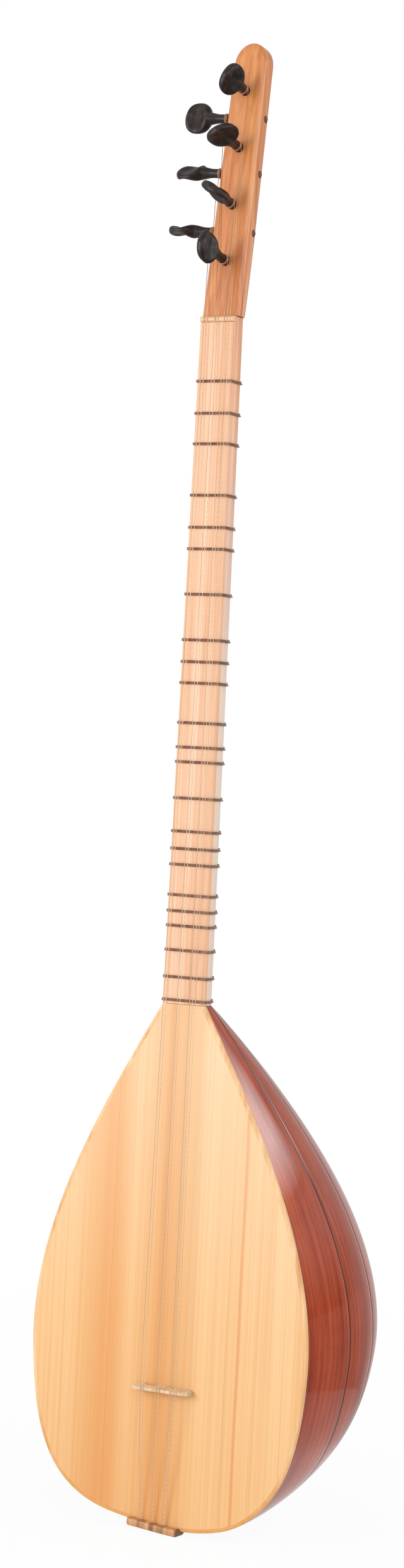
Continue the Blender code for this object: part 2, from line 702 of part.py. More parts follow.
def add_tailpiece(material):
    """A block under the lower rim with a lip over the soundboard, where the strings are hitched."""
    lip = TAIL_Z + TAILPIECE_LIP
    seat = TAIL_Z - GAP
    low = TAIL_Z - TAILPIECE_BODY
    left = TAILPIECE_CENTRE - TAILPIECE_HALF_WIDTH
    right = TAILPIECE_CENTRE + TAILPIECE_HALF_WIDTH
    round_off = TAILPIECE_ROUNDING
    profile = [(-GAP, lip), (-TAILPIECE_PROUD + round_off, lip), (-TAILPIECE_PROUD, lip - round_off),
               (-TAILPIECE_PROUD, low + round_off), (-TAILPIECE_PROUD + round_off, low),
               (TAILPIECE_DEPTH, low + round_off), (TAILPIECE_DEPTH, seat), (-GAP, seat)]
    bevel = TAILPIECE_END_BEVEL
    places = np.concatenate([[left], np.linspace(left + bevel, right - bevel, 9), [right]])
    rings = []
    for x in places:
        drawn = bevel if x in (left, right) else 0
        rings.append([(x, max(y, -TAILPIECE_PROUD + drawn), max(z, low + drawn)) for y, z in profile])
    add_loft("tailpiece", rings, material)


def coil_points(centre, axis, start_side, radius):
    """A coil round a peg that starts at one side of it, going up, and climbs outwards.

    Its last stretch leaves the coil along the tangent.
    """
    steps = int(COIL_TURNS * COIL_POINTS)
    turn = np.arange(steps + 1) / COIL_POINTS
    angle = turn * math.tau
    first = np.array(start_side)
    second = np.array(axis.cross(start_side))
    out = np.array(axis)
    points = np.array(centre) + radius * (np.outer(np.cos(angle), first) + np.outer(np.sin(angle), second))
    points = points + np.outer(COIL_START + COIL_PITCH * turn, out)
    last = angle[-1]
    heading = -math.sin(last) * first + math.cos(last) * second
    return np.concatenate([points, [points[-1] + COIL_TAIL * heading]])


def least_coil_gap(points, thickness):
    """Least gap between turns: distances between points more than a third of a turn apart."""
    apart = np.linalg.norm(points[:, None] - points[None], axis=2)
    index = np.arange(len(points))
    far = np.abs(index[:, None] - index[None]) > COIL_POINTS / 3
    return apart[far].min() - thickness


def string_route(number):
    """Points of one string: hitch, bridge, nut, over the head and round its peg."""
    radius = STRING_RADII[number]
    nut_x = NUT_PLACES[number]
    hitch_z = TAIL_Z + TAILPIECE_LIP + GAP
    hitch_x = HITCH_PLACES[number]
    hitch, after_hitch = slanted([(hitch_x, -HITCH_HEIGHT, hitch_z), (hitch_x, -HITCH_HEIGHT, hitch_z + 4 * radius)])
    over_bridge = (BRIDGE_PLACES[number], -BRIDGE_HEIGHT - BRIDGE_STRING_CLEARANCE - radius, BRIDGE_Z)
    over_nut = (nut_x, -NUT_HEIGHT - NUT_STRING_CLEARANCE - radius, NUT_LENGTH / 2)
    coil_radius = PEG_SHANK_RADIUS + COIL_CLEARANCE + radius
    side_count = len(SIDE_PEG_PLACES)
    place, _, axis, across = peg_places()[number - side_count]
    if number < side_count:
        bend = SIDE_PEG_PLACES[number] - BEND_BELOW_PEG
        corner = head_point(bend, -head_half_width(bend) - BEND_CLEARANCE, BEND_DEPTH)
        coil = coil_points(place, axis, HEAD_OUT, coil_radius)
        lead = [over_nut, tuple(corner)]
    else:
        coil = coil_points(place, axis, across, coil_radius)
        lead = [over_nut]
    gap = least_coil_gap(coil, 2 * radius)
    print(f"string_{number + 1}: least gap between its turns {gap * 1000:.2f} mm")
    return [hitch, after_hitch, over_bridge] + lead + [tuple(point) for point in coil]


def add_strings(material):
    """Each string is one round tube along its route."""
    for number in range(len(NUT_PLACES)):
        name = f"string_{number + 1}"
        route = string_route(number)
        curve = bpy.data.curves.new(name, "CURVE")
        curve.dimensions = "3D"
        curve.bevel_depth = STRING_RADII[number]
        curve.bevel_resolution = 1
        curve.use_fill_caps = True
        spline = curve.splines.new("POLY")
        spline.points.add(len(route) - 1)
        for point, place in zip(spline.points, route):
            point.co = (*place, 1)
        curve.materials.append(material)
        piece = bpy.data.objects.new(name, curve)
        bpy.context.collection.objects.link(piece)


def main():
    for old in list(bpy.data.objects):
        bpy.data.objects.remove(old, do_unlink=True)
    spruce = make_material("spruce", (0.94, 0.66, 0.38), 0.35)
    binding_wood = make_material("binding wood", (0.85, 0.50, 0.16), 0.35)
    bowl_wood = make_material("varnished mahogany", (0.32, 0.08, 0.04), 0.2)
    block_wood = make_material("block wood", (0.62, 0.42, 0.24), 0.6)
    neck_wood = make_material("neck wood", (0.70, 0.28, 0.10), 0.35)
    face_wood = make_material("fingerboard wood", (0.82, 0.52, 0.34), 0.4)
    bone = make_material("bone", (0.86, 0.78, 0.62), 0.4)
    nylon = make_material("brown nylon", (0.12, 0.06, 0.04), 0.4)
    ebony = make_material("dark peg wood", (0.03, 0.02, 0.015), 0.3)
    bridge_wood = make_material("bridge wood", (0.80, 0.68, 0.48), 0.5)
    tail_wood = make_material("tailpiece wood", (0.40, 0.20, 0.10), 0.4)
    steel = make_material("steel wire", (0.62, 0.60, 0.58), 0.3, 1.0)
    add_body(bowl_wood, block_wood)
    add_binding(binding_wood)
    add_soundboard(spruce)
    add_neck(neck_wood, face_wood, bone)
    add_frets(nylon)
    add_peghead(neck_wood)
    add_pegs(ebony)
    add_bridge(bridge_wood)
    add_tailpiece(tail_wood)
    add_strings(steel)


main()
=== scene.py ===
"""Looks of a long-necked lute: glossy ribbed bowl, grained soundboard, turned pegs, tied frets."""
import math

import bpy
import numpy as np
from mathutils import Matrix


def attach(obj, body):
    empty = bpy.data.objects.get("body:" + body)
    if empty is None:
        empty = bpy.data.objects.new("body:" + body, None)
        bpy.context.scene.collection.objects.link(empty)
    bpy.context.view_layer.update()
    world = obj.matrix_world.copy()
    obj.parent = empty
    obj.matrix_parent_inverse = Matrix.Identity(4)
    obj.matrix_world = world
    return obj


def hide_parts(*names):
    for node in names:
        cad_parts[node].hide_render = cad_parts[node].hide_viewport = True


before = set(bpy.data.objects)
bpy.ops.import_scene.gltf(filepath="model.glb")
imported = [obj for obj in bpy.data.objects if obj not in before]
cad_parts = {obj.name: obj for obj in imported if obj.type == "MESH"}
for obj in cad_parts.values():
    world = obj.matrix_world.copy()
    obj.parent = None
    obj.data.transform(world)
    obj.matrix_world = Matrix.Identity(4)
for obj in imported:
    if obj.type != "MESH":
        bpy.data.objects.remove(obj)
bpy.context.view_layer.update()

ROOT = "neck_and_bowl"

# Photograph's size in pixels, and the camera that sees the lute as it does
PHOTO_HEIGHT = 2485
CAMERA_PLACE = np.array([1.3377, -2.3309, -0.3671])
CAMERA_AZIMUTH = math.radians(29.72)
CAMERA_ELEVATION = math.radians(0.15)
CAMERA_ROLL = math.radians(2.83)
FOCAL_PIXELS = 5263
SENSOR = 24.0

# Sizes of the lute, in metres
GAP = 0.0003
SCALE_LENGTH = 0.880
FRET_CENTS = (97, 152, 206, 301, 363, 406, 500, 600, 650, 700, 798, 861,
              900, 1000, 1097, 1150, 1200, 1300, 1355, 1407, 1497, 1602, 1697)
NECK_LENGTH = SCALE_LENGTH * (1 - 2 ** (-FRET_CENTS[-1] / 1200)) + 0.0032
NUT_HALF_WIDTH = 0.0154
JOINT_HALF_WIDTH = 0.0196
NUT_DEPTH = 0.026
JOINT_DEPTH = 0.0265
NECK_FULLNESS = 3.0
JOINT_FULLNESS = 2.3
FINGERBOARD_THICKNESS = 0.003
NUT_LENGTH = 0.0045
NUT_HEIGHT = 0.0015
BODY_LENGTH = 0.4205
BODY_HALF_WIDTH = 0.1299
BODY_DEPTH = 0.2477
BOWL_FULLNESS = 2.56
FULLNESS_BLEND = 0.063
RIM_WIDEST_PLACE = 0.1312
RIM_TAIL_POWER = 8.36
RIM_TAIL_CURVE = 0.37
KEEL_DEEPEST_PLACE = 0.1246
KEEL_SWELL = 0.92
KEEL_TAIL_POWER = 9.05
KEEL_TAIL_CURVE = 1.0
RIB_THICKNESS = 0.003
RIB_COUNT = 9
SIDE_RIB_WIDTH = 0.077
INNER_RIB_WIDTH = 0.064
BOWL_END_PLACE = 0.0014
BOARD_THICKNESS = 0.003
BINDING_WIDTH = 0.003
CENTRE_BOARD_HALF_WIDTH = 0.055
HEAD_LENGTH = 0.2307
HEAD_LEAN = math.radians(7.6)
HEAD_FOOT_HALF_WIDTH = 0.0175
HEAD_TOP_HALF_WIDTH = 0.015
HEAD_FOOT_DEPTH = 0.0195
HEAD_TOP_DEPTH = 0.0205
HEAD_EDGE_RADIUS = 0.005
HEAD_BACK_RADIUS = 0.009
HEAD_FOOT_BACK_RADIUS = 0.012
HEAD_BLEND = 0.08
HEAD_CROWN = 0.0177
PEG_SHANK_RADIUS = 0.00375
PEG_TAPER = 1 / 18
PEG_REACH = 0.0445
PEG_TIP = 0.0005
PEG_TIP_BEVEL = 0.0005
PEG_BLADE_CENTRE = 0.0322
PEG_BLADE_HALF_WIDTH = 0.013
PEG_BLADE_HALF_LENGTH = 0.012
PEG_STRAIGHT = 0.011
PEG_BELLY_PLACE = 0.0235
PEG_BELLY_HALF_THICKNESS = 0.00545
PEG_WAIST_PLACE = 0.0335
PEG_WAIST_HALF_THICKNESS = 0.0025
PEG_BEAD_PLACE = 0.04
PEG_BEAD_HALF_THICKNESS = 0.0042
PEG_RISE = math.radians(4)
SIDE_PEG_DEPTH = 0.0108
FRONT_PEG_PLACES = (0.0457, 0.093, 0.141, 0.1888)
FRONT_PEG_TURNS = (90, -31, 25, 65)
FRONT_PEG_PUSHES = (0, 0.0035, 0.004, 0.0075)
SIDE_PEG_PLACES = (0.0738, 0.1234, 0.1698)
SIDE_PEG_TURNS = (79, 55, 0)
BRIDGE_Z = -0.865
BRIDGE_HALF_LENGTH = 0.0265
BRIDGE_HEIGHT = 0.011
NUT_PLACES = (-0.0113, -0.0087, -0.0013, 0.0013, 0.0074, 0.0100, 0.0126)
BRIDGE_PLACES = (-0.0162, -0.0136, -0.0013, 0.0013, 0.0120, 0.0146, 0.0172)
HITCH_PLACES = (-0.0159, -0.0151, -0.0044, -0.0036, 0.0058, 0.0066, 0.0074)
STRING_RADII = (0.00025, 0.00025, 0.00025, 0.00025, 0.00025, 0.0002, 0.0002)
FRET_LINE_RADIUS = 0.0004
FRET_TURNS = 3
TAIL_SLANT = 0.0043
SLANT_RISES = (-0.045, 0.030)
SLANT_FADES = (0.060, 0.115)
SLANT_HEIGHTS = (0.029, 0.084)
SLANT_DEPTH = 0.1


def tone(red, green, blue):
    """A colour of the display, 0 to 255, as the linear colour that a shader takes."""
    value = np.array([red, green, blue]) / 255
    linear = np.where(value <= 0.04045, value / 12.92, ((value + 0.055) / 1.055) ** 2.4)
    return (*linear.tolist(), 1.0)


def grey(level):
    return (level, level, level, 1.0)


# Surfaces

def grid_quads(rows, columns, wrap_rows):
    """Corner numbers of the quads between closed rings of points."""
    row, column = np.meshgrid(np.arange(rows if wrap_rows else rows - 1), np.arange(columns), indexing="ij")
    next_row = (row + 1) % rows
    next_column = (column + 1) % columns
    quads = [row * columns + column, row * columns + next_column,
             next_row * columns + next_column, next_row * columns + column]
    return np.stack(quads, axis=-1).reshape(-1, 4)


def volume_of(points, quads, caps):
    """Signed volume inside the faces: a sixth of the triple products of all their triangles."""
    fans = [np.stack([np.full(len(cap) - 2, cap[0]), cap[1:-1], cap[2:]], axis=1) for cap in caps]
    triangles = np.concatenate([quads[:, [0, 1, 2]], quads[:, [0, 2, 3]], *fans])
    a, b, c = (points[triangles[:, corner]] for corner in range(3))
    return np.einsum("ij,ij->", a, np.cross(b, c)) / 6


def smooth(value, low, high):
    """0 below low, 1 above high, and a smooth cubic between them."""
    share = np.clip((value - low) / (high - low), 0, 1)
    return share * share * (3 - 2 * share)


def slanted(points):
    """The points, lowered near the tail by its slant: most right of its middle and at the rim."""
    x, y, z = points[:, 0], points[:, 1], points[:, 2]
    above = z + NECK_LENGTH + GAP + BODY_LENGTH
    across = smooth(x, *SLANT_RISES) * (1 - smooth(x, *SLANT_FADES))
    behind = 1 - smooth(y, BOARD_THICKNESS + GAP, SLANT_DEPTH)
    fall = TAIL_SLANT * across * behind * (1 - smooth(above, *SLANT_HEIGHTS))
    return np.column_stack([x, y, z - fall])


def add_piece(name, rings, material, body=ROOT, wrap=False, flow=None, sharp=40, stands_for=()):
    """A closed surface through closed rings of points, with flat ends unless its rings wrap.

    rings is an array of rows, columns, xyz. flow is an optional array of the same shape that
    the material reads: across the piece, along it, and a third value.
    """
    rows, columns = rings.shape[:2]
    points = slanted(rings.reshape(-1, 3))
    quads = grid_quads(rows, columns, wrap)
    caps = [] if wrap else [np.arange(columns)[::-1], np.arange((rows - 1) * columns, rows * columns)]
    if volume_of(points, quads, caps) < 0:
        quads = quads[:, ::-1]
        caps = [cap[::-1] for cap in caps]
    mesh = bpy.data.meshes.new(name)
    mesh.from_pydata(points.tolist(), [], quads.tolist() + [cap.tolist() for cap in caps])
    if flow is not None:
        layer = mesh.attributes.new("flow", "FLOAT_VECTOR", "POINT")
        layer.data.foreach_set("vector", flow.reshape(-1).astype(np.float32))
    mesh.materials.append(material)
    mesh.shade_smooth()
    mesh.set_sharp_from_angle(angle=math.radians(sharp))
    piece = bpy.data.objects.new(name, mesh)
    bpy.context.scene.collection.objects.link(piece)
    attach(piece, body)
    if stands_for:
        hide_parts(*stands_for)
    return piece


def unit(vectors):
    return vectors / np.linalg.norm(vectors, axis=-1, keepdims=True)


def tube_rings(path, radius, sides, across):
    """Circles of a radius round each point of a path, square to it.

    across is a direction that the path never runs along; the circle's plane is spanned by its
    cross products with the path's direction.
    """
    along = unit(np.gradient(path, axis=0))
    first = unit(np.cross(np.broadcast_to(across, along.shape), along))
    second = np.cross(along, first)
    angle = np.arange(sides) / sides * math.tau
    radius = np.broadcast_to(np.asarray(radius, dtype=float), (len(path),))[:, None, None]
    circle = np.cos(angle)[None, :, None] * first[:, None] + np.sin(angle)[None, :, None] * second[:, None]
    return path[:, None] + radius * circle


def tube_flow(path, sides):
    """Turn round the tube and length along it, for the material."""
    length = np.concatenate([[0], np.cumsum(np.linalg.norm(np.diff(path, axis=0), axis=1))])
    flow = np.zeros((len(path), sides, 3))
    flow[:, :, 0] = np.arange(sides) / sides
    flow[:, :, 1] = length[:, None]
    return flow


# Finishes

class Finish:
    """A material and short calls for the nodes that its pattern needs."""

    def __init__(self, name, roughness, coat=0.0, coat_roughness=0.03, metallic=0.0, specular=0.5):
        self.material = bpy.data.materials.new(name)
        self.material.use_nodes = True
        self.tree = self.material.node_tree
        self.shader = self.tree.nodes["Principled BSDF"]
        self.shader.inputs["Roughness"].default_value = roughness
        self.shader.inputs["Metallic"].default_value = metallic
        self.shader.inputs["Coat Weight"].default_value = coat
        self.shader.inputs["Coat Roughness"].default_value = coat_roughness
        self.shader.inputs["Specular IOR Level"].default_value = specular

    def node(self, kind, inputs=None, **settings):
        made = self.tree.nodes.new(kind)
        for key, value in settings.items():
            setattr(made, key, value)
        for key, value in (inputs or {}).items():
            if isinstance(value, bpy.types.NodeSocket):
                self.tree.links.new(value, made.inputs[key])
            else:
                made.inputs[key].default_value = value
        return made

    def place(self):
        """Object coordinates, in metres."""
        return self.node("ShaderNodeTexCoord").outputs["Object"]

    def flow(self):
        return self.node("ShaderNodeAttribute", attribute_name="flow").outputs["Vector"]

    def axis(self, vector, letter):
        return self.node("ShaderNodeSeparateXYZ", {"Vector": vector}).outputs[letter]

    def stretch(self, vector, x, y, z):
        """The vector with its parts multiplied, so that a pattern on it is drawn out."""
        return self.node("ShaderNodeVectorMath", {0: vector, 1: (x, y, z)}, operation="MULTIPLY").outputs[0]

    def noise(self, vector, scale=1.0, detail=3.0, roughness=0.5):
        inputs = {"Vector": vector, "Scale": scale, "Detail": detail, "Roughness": roughness}
        return self.node("ShaderNodeTexNoise", inputs).outputs[0]

    def ramp(self, value, *stops):
        """Colours between (place, colour) stops."""
        made = self.node("ShaderNodeValToRGB", {"Fac": value})
        elements = made.color_ramp.elements
        while len(elements) < len(stops):
            elements.new(0.5)
        for element, (place, colour) in zip(elements, stops):
            element.position = place
            element.color = colour
        return made.outputs["Color"]

    def blend(self, share, first, second, kind="MIX"):
        made = self.node("ShaderNodeMix", data_type="RGBA", blend_type=kind)
        for socket, value in ((0, share), (6, first), (7, second)):
            if isinstance(value, bpy.types.NodeSocket):
                self.tree.links.new(value, made.inputs[socket])
            else:
                made.inputs[socket].default_value = value
        return made.outputs[2]

    def sum(self, operation, first, second=0.0):
        return self.node("ShaderNodeMath", {0: first, 1: second}, operation=operation).outputs[0]

    def scaled(self, value, low, high, start=0.0, end=1.0):
        """The value moved from low..high to start..end, held at its ends."""
        inputs = {"Value": value, "From Min": low, "From Max": high, "To Min": start, "To Max": end}
        return self.node("ShaderNodeMapRange", inputs).outputs[0]

    def colour(self, socket):
        self.tree.links.new(socket, self.shader.inputs["Base Color"])

    def bump(self, height, distance, strength=1.0):
        made = self.node("ShaderNodeBump", {"Height": height, "Distance": distance, "Strength": strength})
        self.tree.links.new(made.outputs["Normal"], self.shader.inputs["Normal"])


def grain_wood(name, dark, middle, light, rings=300.0, band=40.0, roughness=0.45, coat=0.6, coat_roughness=0.1):
    """Straight grained wood: thin year lines and broad bands across, both drawn out along Z."""
    made = Finish(name, roughness, coat, coat_roughness, specular=0.3)
    place = made.place()
    lines = made.noise(made.stretch(place, rings, rings, 5), detail=4)
    bands = made.noise(made.stretch(place, band, band, 1.2), detail=3)
    pores = made.noise(made.stretch(place, 1400, 1400, 60), detail=2)
    mixed = made.sum("ADD", made.scaled(lines, 0.3, 0.7, -0.22, 0.22), bands)
    colour = made.ramp(mixed, (0.25, dark), (0.5, middle), (0.75, light))
    colour = made.blend(made.scaled(pores, 0.56, 0.7, 0, 0.16), colour, dark)
    made.colour(colour)
    made.bump(pores, 0.00004, 0.5)
    return made


def neck_wood():
    """The neck's wood, with a painted highlight: a pale strip that widens down its right side."""
    made = grain_wood("neck wood", tone(206, 124, 72), tone(228, 154, 98), tone(240, 174, 120),
                      rings=260, band=50, roughness=0.42, coat=0.5)
    grain = made.shader.inputs["Base Color"].links[0].from_socket
    # Painted highlight: the wood is blended towards white down the right side of the lower neck.
    down = made.scaled(made.axis(made.place(), "Z"), -0.05, -0.3, 0, 0.8)
    right = made.scaled(made.axis(made.place(), "X"), 0.009, 0.0145)
    made.colour(made.blend(made.sum("MULTIPLY", down, right), grain, tone(255, 238, 222)))
    return made


def soundboard_wood():
    """Spruce in upright bands: tones across the boards, fine year lines, one orange streak, a painted shade of the
    strings down the middle, and painted light that makes the board lighter at the top and darker towards the bottom.
    """
    made = Finish("spruce", 0.5, 0.4, 0.2, specular=0.3)
    place = made.place()
    wander = made.noise(made.stretch(place, 6, 6, 2.5), detail=2)
    across = made.sum("ADD", made.axis(place, "X"), made.scaled(wander, 0.3, 0.7, -0.0015, 0.0015))
    share = made.scaled(across, -0.128, 0.128)
    base = tone(249, 205, 152)
    warm = tone(243, 190, 130)
    light = tone(253, 214, 165)
    orange = tone(240, 176, 112)
    # The darker warm and orange band round the middle, from 0.43 to 0.53 of the width under the strings, is painted
    # shade of the strings; the other bands are the boards' own tones.
    colour = made.ramp(share, (0.0, base), (0.14, base), (0.21, warm), (0.26, orange), (0.30, orange),
                       (0.36, base), (0.43, warm), (0.47, orange), (0.53, warm), (0.60, base),
                       (0.68, light), (0.74, base), (0.90, light), (1.0, base))
    years = made.noise(made.stretch(place, 520, 40, 1.6), detail=3)
    broad = made.noise(made.stretch(place, 120, 20, 0.8), detail=2)
    colour = made.blend(made.scaled(years, 0.42, 0.68, 0, 0.30), colour, tone(226, 160, 98))
    colour = made.blend(made.scaled(broad, 0.5, 0.75, 0, 0.30), colour, tone(234, 172, 108))
    streak = made.sum("ABSOLUTE", made.sum("SUBTRACT", across, 0.0655))
    colour = made.blend(made.scaled(streak, 0.0004, 0.0022, 0.55, 0), colour, tone(228, 140, 70))
    # Painted light: the board is darkened towards the bottom and given a pale painted sheen towards the top.
    height = made.scaled(made.axis(place, "Z"), -0.95, -0.6)
    colour = made.blend(made.scaled(height, 0, 1, 1, 0), colour, tone(246, 236, 218), "MULTIPLY")
    colour = made.blend(made.scaled(height, 0.4, 1, 0, 0.14), colour, tone(255, 244, 228))
    made.colour(colour)
    made.bump(years, 0.00003, 0.4)
    return made


def binding_wood():
    """The edge strip's wood: pale down the sides and golden round the tail."""
    made = grain_wood("binding wood", tone(222, 162, 100), tone(240, 190, 134), tone(248, 210, 160),
                      rings=200, band=60, roughness=0.4)
    pale = made.shader.inputs["Base Color"].links[0].from_socket
    golden = made.scaled(made.axis(made.place(), "Z"), -0.9, -0.955, 0, 0.8)
    made.colour(made.blend(golden, pale, tone(228, 160, 74)))
    return made


def bowl_wood():
    """Red-brown ribs under a thick gloss varnish: streaks and pores along each rib, dark seams.

    The flow attribute holds the place across the rib, along it, and the distance to its edge.
    """
    made = Finish("varnished mahogany", 0.5, 1.0, 0.02, specular=0.0)
    flow = made.flow()
    across = made.axis(flow, "X")
    along = made.axis(flow, "Y")
    edge = made.axis(flow, "Z")
    plane = made.node("ShaderNodeCombineXYZ", {"X": across, "Y": along}).outputs[0]
    streaks = made.noise(made.stretch(plane, 130, 3.2, 1), detail=6, roughness=0.6)
    broad = made.noise(made.stretch(plane, 26, 2.0, 1), detail=3)
    pores = made.noise(made.stretch(plane, 1500, 55, 1), detail=2)
    ripple = made.noise(made.stretch(plane, 18, 26, 1), detail=2)
    mixed = made.sum("ADD", made.sum("MULTIPLY", streaks, 0.65), made.sum("MULTIPLY", broad, 0.35))
    colour = made.ramp(mixed, (0.30, tone(116, 36, 18)), (0.46, tone(174, 67, 35)),
                       (0.58, tone(200, 88, 47)), (0.72, tone(222, 108, 60)))
    colour = made.blend(made.scaled(ripple, 0.35, 0.7, 0, 0.22), colour, tone(110, 42, 26))
    colour = made.blend(made.scaled(pores, 0.55, 0.7, 0, 0.45), colour, tone(58, 20, 14))
    colour = made.blend(made.scaled(edge, 0.0006, 0.0034, 0.5, 0), colour, tone(70, 28, 22))
    colour = made.blend(made.scaled(edge, 0.0004, 0.0011, 0.9, 0), colour, tone(42, 18, 18))
    made.colour(colour)
    made.bump(pores, 0.00002, 0.3)
    return made


def peg_wood():
    """Near-black turned wood with a faint brown figure and a polish; its far end is a lighter brown."""
    made = Finish("dark peg wood", 0.5, 0.25, 0.3, specular=0.3)
    flow = made.flow()
    figure = made.noise(made.stretch(flow, 4, 260, 260), detail=4)
    colour = made.ramp(figure, (0.35, tone(28, 20, 18)), (0.55, tone(44, 32, 28)), (0.75, tone(72, 48, 38)))
    tip_share = made.scaled(made.axis(flow, "X"), -0.0185, -0.0195)
    made.colour(made.blend(tip_share, colour, tone(112, 70, 48)))
    made.bump(figure, 0.00008, 0.4)
    return made


def nylon_line():
    """Brown fret line, slightly clear looking, with a soft shine."""
    made = Finish("brown nylon", 0.3, 0.3, 0.1)
    place = made.place()
    mottle = made.noise(made.stretch(place, 300, 300, 300), detail=2)
    made.colour(made.ramp(mottle, (0.3, tone(122, 82, 62)), (0.7, tone(160, 118, 94))))
    return made


def string_wire(name, colour, pitch):
    """Steel wire with a painted reflection of the head's wood where it runs over the head; a pitch gives its fine
    turns along the length.
    """
    made = Finish(name, 0.4, metallic=0.2)
    flow = made.flow()
    along = made.sum("MULTIPLY", made.axis(flow, "Y"), math.tau / pitch)
    turns = made.sum("SINE", along)
    # Painted reflection: above the nut the wire is blended to the tone of the head wood that it mirrors.
    head_reflection = made.scaled(made.axis(made.place(), "Z"), 0.0, 0.04)
    colour = made.blend(head_reflection, colour, tone(184, 136, 100))
    made.colour(made.blend(made.scaled(turns, -1, 1, 0, 0.3), colour, tone(120, 106, 92)))
    made.bump(turns, 0.00003, 0.4)
    return made


def tail_wood():
    """The tailpiece's wood, with painted shade: dark spots where the strings are hitched, for the shade of their holes
    and of the strings, and a dark right end.
    """
    made = grain_wood("tailpiece wood", tone(150, 98, 62), tone(206, 150, 102), tone(232, 182, 134),
                      rings=200, band=60, roughness=0.45, coat=0.3, coat_roughness=0.3)
    colour = made.shader.inputs["Base Color"].links[0].from_socket
    across = made.axis(made.place(), "X")
    # Painted shade: darker spots at the string hitches, for the shade of their holes and of the strings, and a darker
    # right end for its shaded side.
    for place, reach, dark in ((-0.0155, 0.0022, 0.55), (-0.004, 0.002, 0.5), (0.0066, 0.0026, 0.6),
                               (0.0205, 0.0035, 0.7)):
        away = made.sum("ABSOLUTE", made.sum("SUBTRACT", across, place))
        colour = made.blend(made.scaled(away, 0.2 * reach, reach, dark, 0), colour, tone(104, 62, 40))
    made.colour(colour)
    return made


def polished_bone():
    made = Finish("bone", 0.35, 0.3, 0.1)
    place = made.place()
    veins = made.noise(made.stretch(place, 60, 400, 400), detail=3)
    made.colour(made.ramp(veins, (0.35, tone(222, 174, 126)), (0.7, tone(238, 194, 150))))
    return made


SPRUCE = soundboard_wood().material
BOWL = bowl_wood().material
BINDING = binding_wood().material
NECK = neck_wood().material
HEAD = grain_wood("head wood", tone(192, 106, 48), tone(215, 133, 71), tone(229, 154, 88),
                  rings=260, band=50, roughness=0.5, coat=1.0, coat_roughness=0.24).material
FACE = grain_wood("fingerboard wood", tone(224, 164, 122), tone(240, 188, 148), tone(247, 204, 170),
                  rings=420, band=70, roughness=0.5, coat=0.3, coat_roughness=0.3).material
BLOCK = grain_wood("block wood", tone(150, 104, 62), tone(186, 140, 92), tone(206, 166, 118),
                   rings=220, band=40, roughness=0.7, coat=0.0).material
BRIDGE_WOOD = grain_wood("bridge wood", tone(208, 174, 136), tone(226, 198, 162), tone(236, 212, 180),
                         rings=500, band=90, roughness=0.5, coat=0.2).material
TAIL_WOOD = tail_wood().material
PEG = peg_wood().material
NYLON = nylon_line().material
BONE = polished_bone().material
PLAIN_WIRE = string_wire("plain steel", tone(236, 208, 176), 0.004).material
WOUND_WIRE = string_wire("wound steel", tone(226, 192, 156), 0.0003).material


# Bowl

def body_z(u):
    """Height at the share u of the body's length, from the neck joint to the tail."""
    return -NECK_LENGTH - GAP - np.asarray(u) * BODY_LENGTH


def above_tail(place):
    """Share of the body's length at a place above the tail."""
    return 1 - place / BODY_LENGTH


def rim_half_width(u):
    """Quarter sine from the joint's half width to the widest place, closed at the tail."""
    start = JOINT_HALF_WIDTH / BODY_HALF_WIDTH
    swell = np.sin(np.pi / 2 * np.minimum(u / above_tail(RIM_WIDEST_PLACE), 1))
    return BODY_HALF_WIDTH * (start + (1 - start) * swell) * (1 - u ** RIM_TAIL_POWER) ** RIM_TAIL_CURVE


def bowl_depth(u):
    """A power of a quarter sine from the joint's depth to the deepest place, closed at the tail."""
    start = JOINT_DEPTH / BODY_DEPTH
    swell = np.sin(np.pi / 2 * np.minimum(u / above_tail(KEEL_DEEPEST_PLACE), 1)) ** KEEL_SWELL
    return BODY_DEPTH * (start + (1 - start) * swell) * (1 - u ** KEEL_TAIL_POWER) ** KEEL_TAIL_CURVE


def bowl_fullness(u):
    """Power of the bowl's section: the neck's at the joint, the bowl's own below the blend."""
    rest = np.maximum(1 - u * BODY_LENGTH / FULLNESS_BLEND, 0)
    return BOWL_FULLNESS + (JOINT_FULLNESS - BOWL_FULLNESS) * rest ** 2


def slope(size, u):
    """Change of a size of the bowl for each metre down the body."""
    step = 1e-4
    low = np.maximum(u - step, 0)
    high = np.minimum(u + step, 1)
    return (size(high) - size(low)) / ((high - low) * BODY_LENGTH)


def section_points(half_width, depth, fullness, top, shares):
    """Places x, y on |x/half_width|^p + (y/depth)^p = 1 behind y = top, and the curve's length.

    The shares run from 0 at the right edge to 1 at the left edge, in equal parts of the length.
    """
    first = math.asin((top / depth) ** (fullness / 2))
    angle = np.linspace(first, math.pi - first, 1501)
    x = half_width * np.sign(np.cos(angle)) * np.abs(np.cos(angle)) ** (2 / fullness)
    y = depth * np.sin(angle) ** (2 / fullness)
    length = np.concatenate([[0], np.cumsum(np.hypot(np.diff(x), np.diff(y)))])
    shares = np.asarray(shares) * length[-1]
    return np.interp(shares, length, x), np.interp(shares, length, y), length[-1]


def bowl_normals(x, y, u):
    """Outward normals of the bowl, from the gradient of its section's formula."""
    half_width = rim_half_width(u)
    depth = bowl_depth(u)
    across = (np.abs(x) / half_width) ** bowl_fullness(u)
    down = (y / depth) ** bowl_fullness(u)
    return unit(np.stack([
        across / np.where(np.abs(x) < 1e-6, 1, x),
        down / y,
        across * slope(rim_half_width, u) / half_width + down * slope(bowl_depth, u) / depth], axis=-1))


BOWL_TOP = BOARD_THICKNESS + GAP
EDGE_ROUND = 0.0006
SEAM_DIP = 0.00022


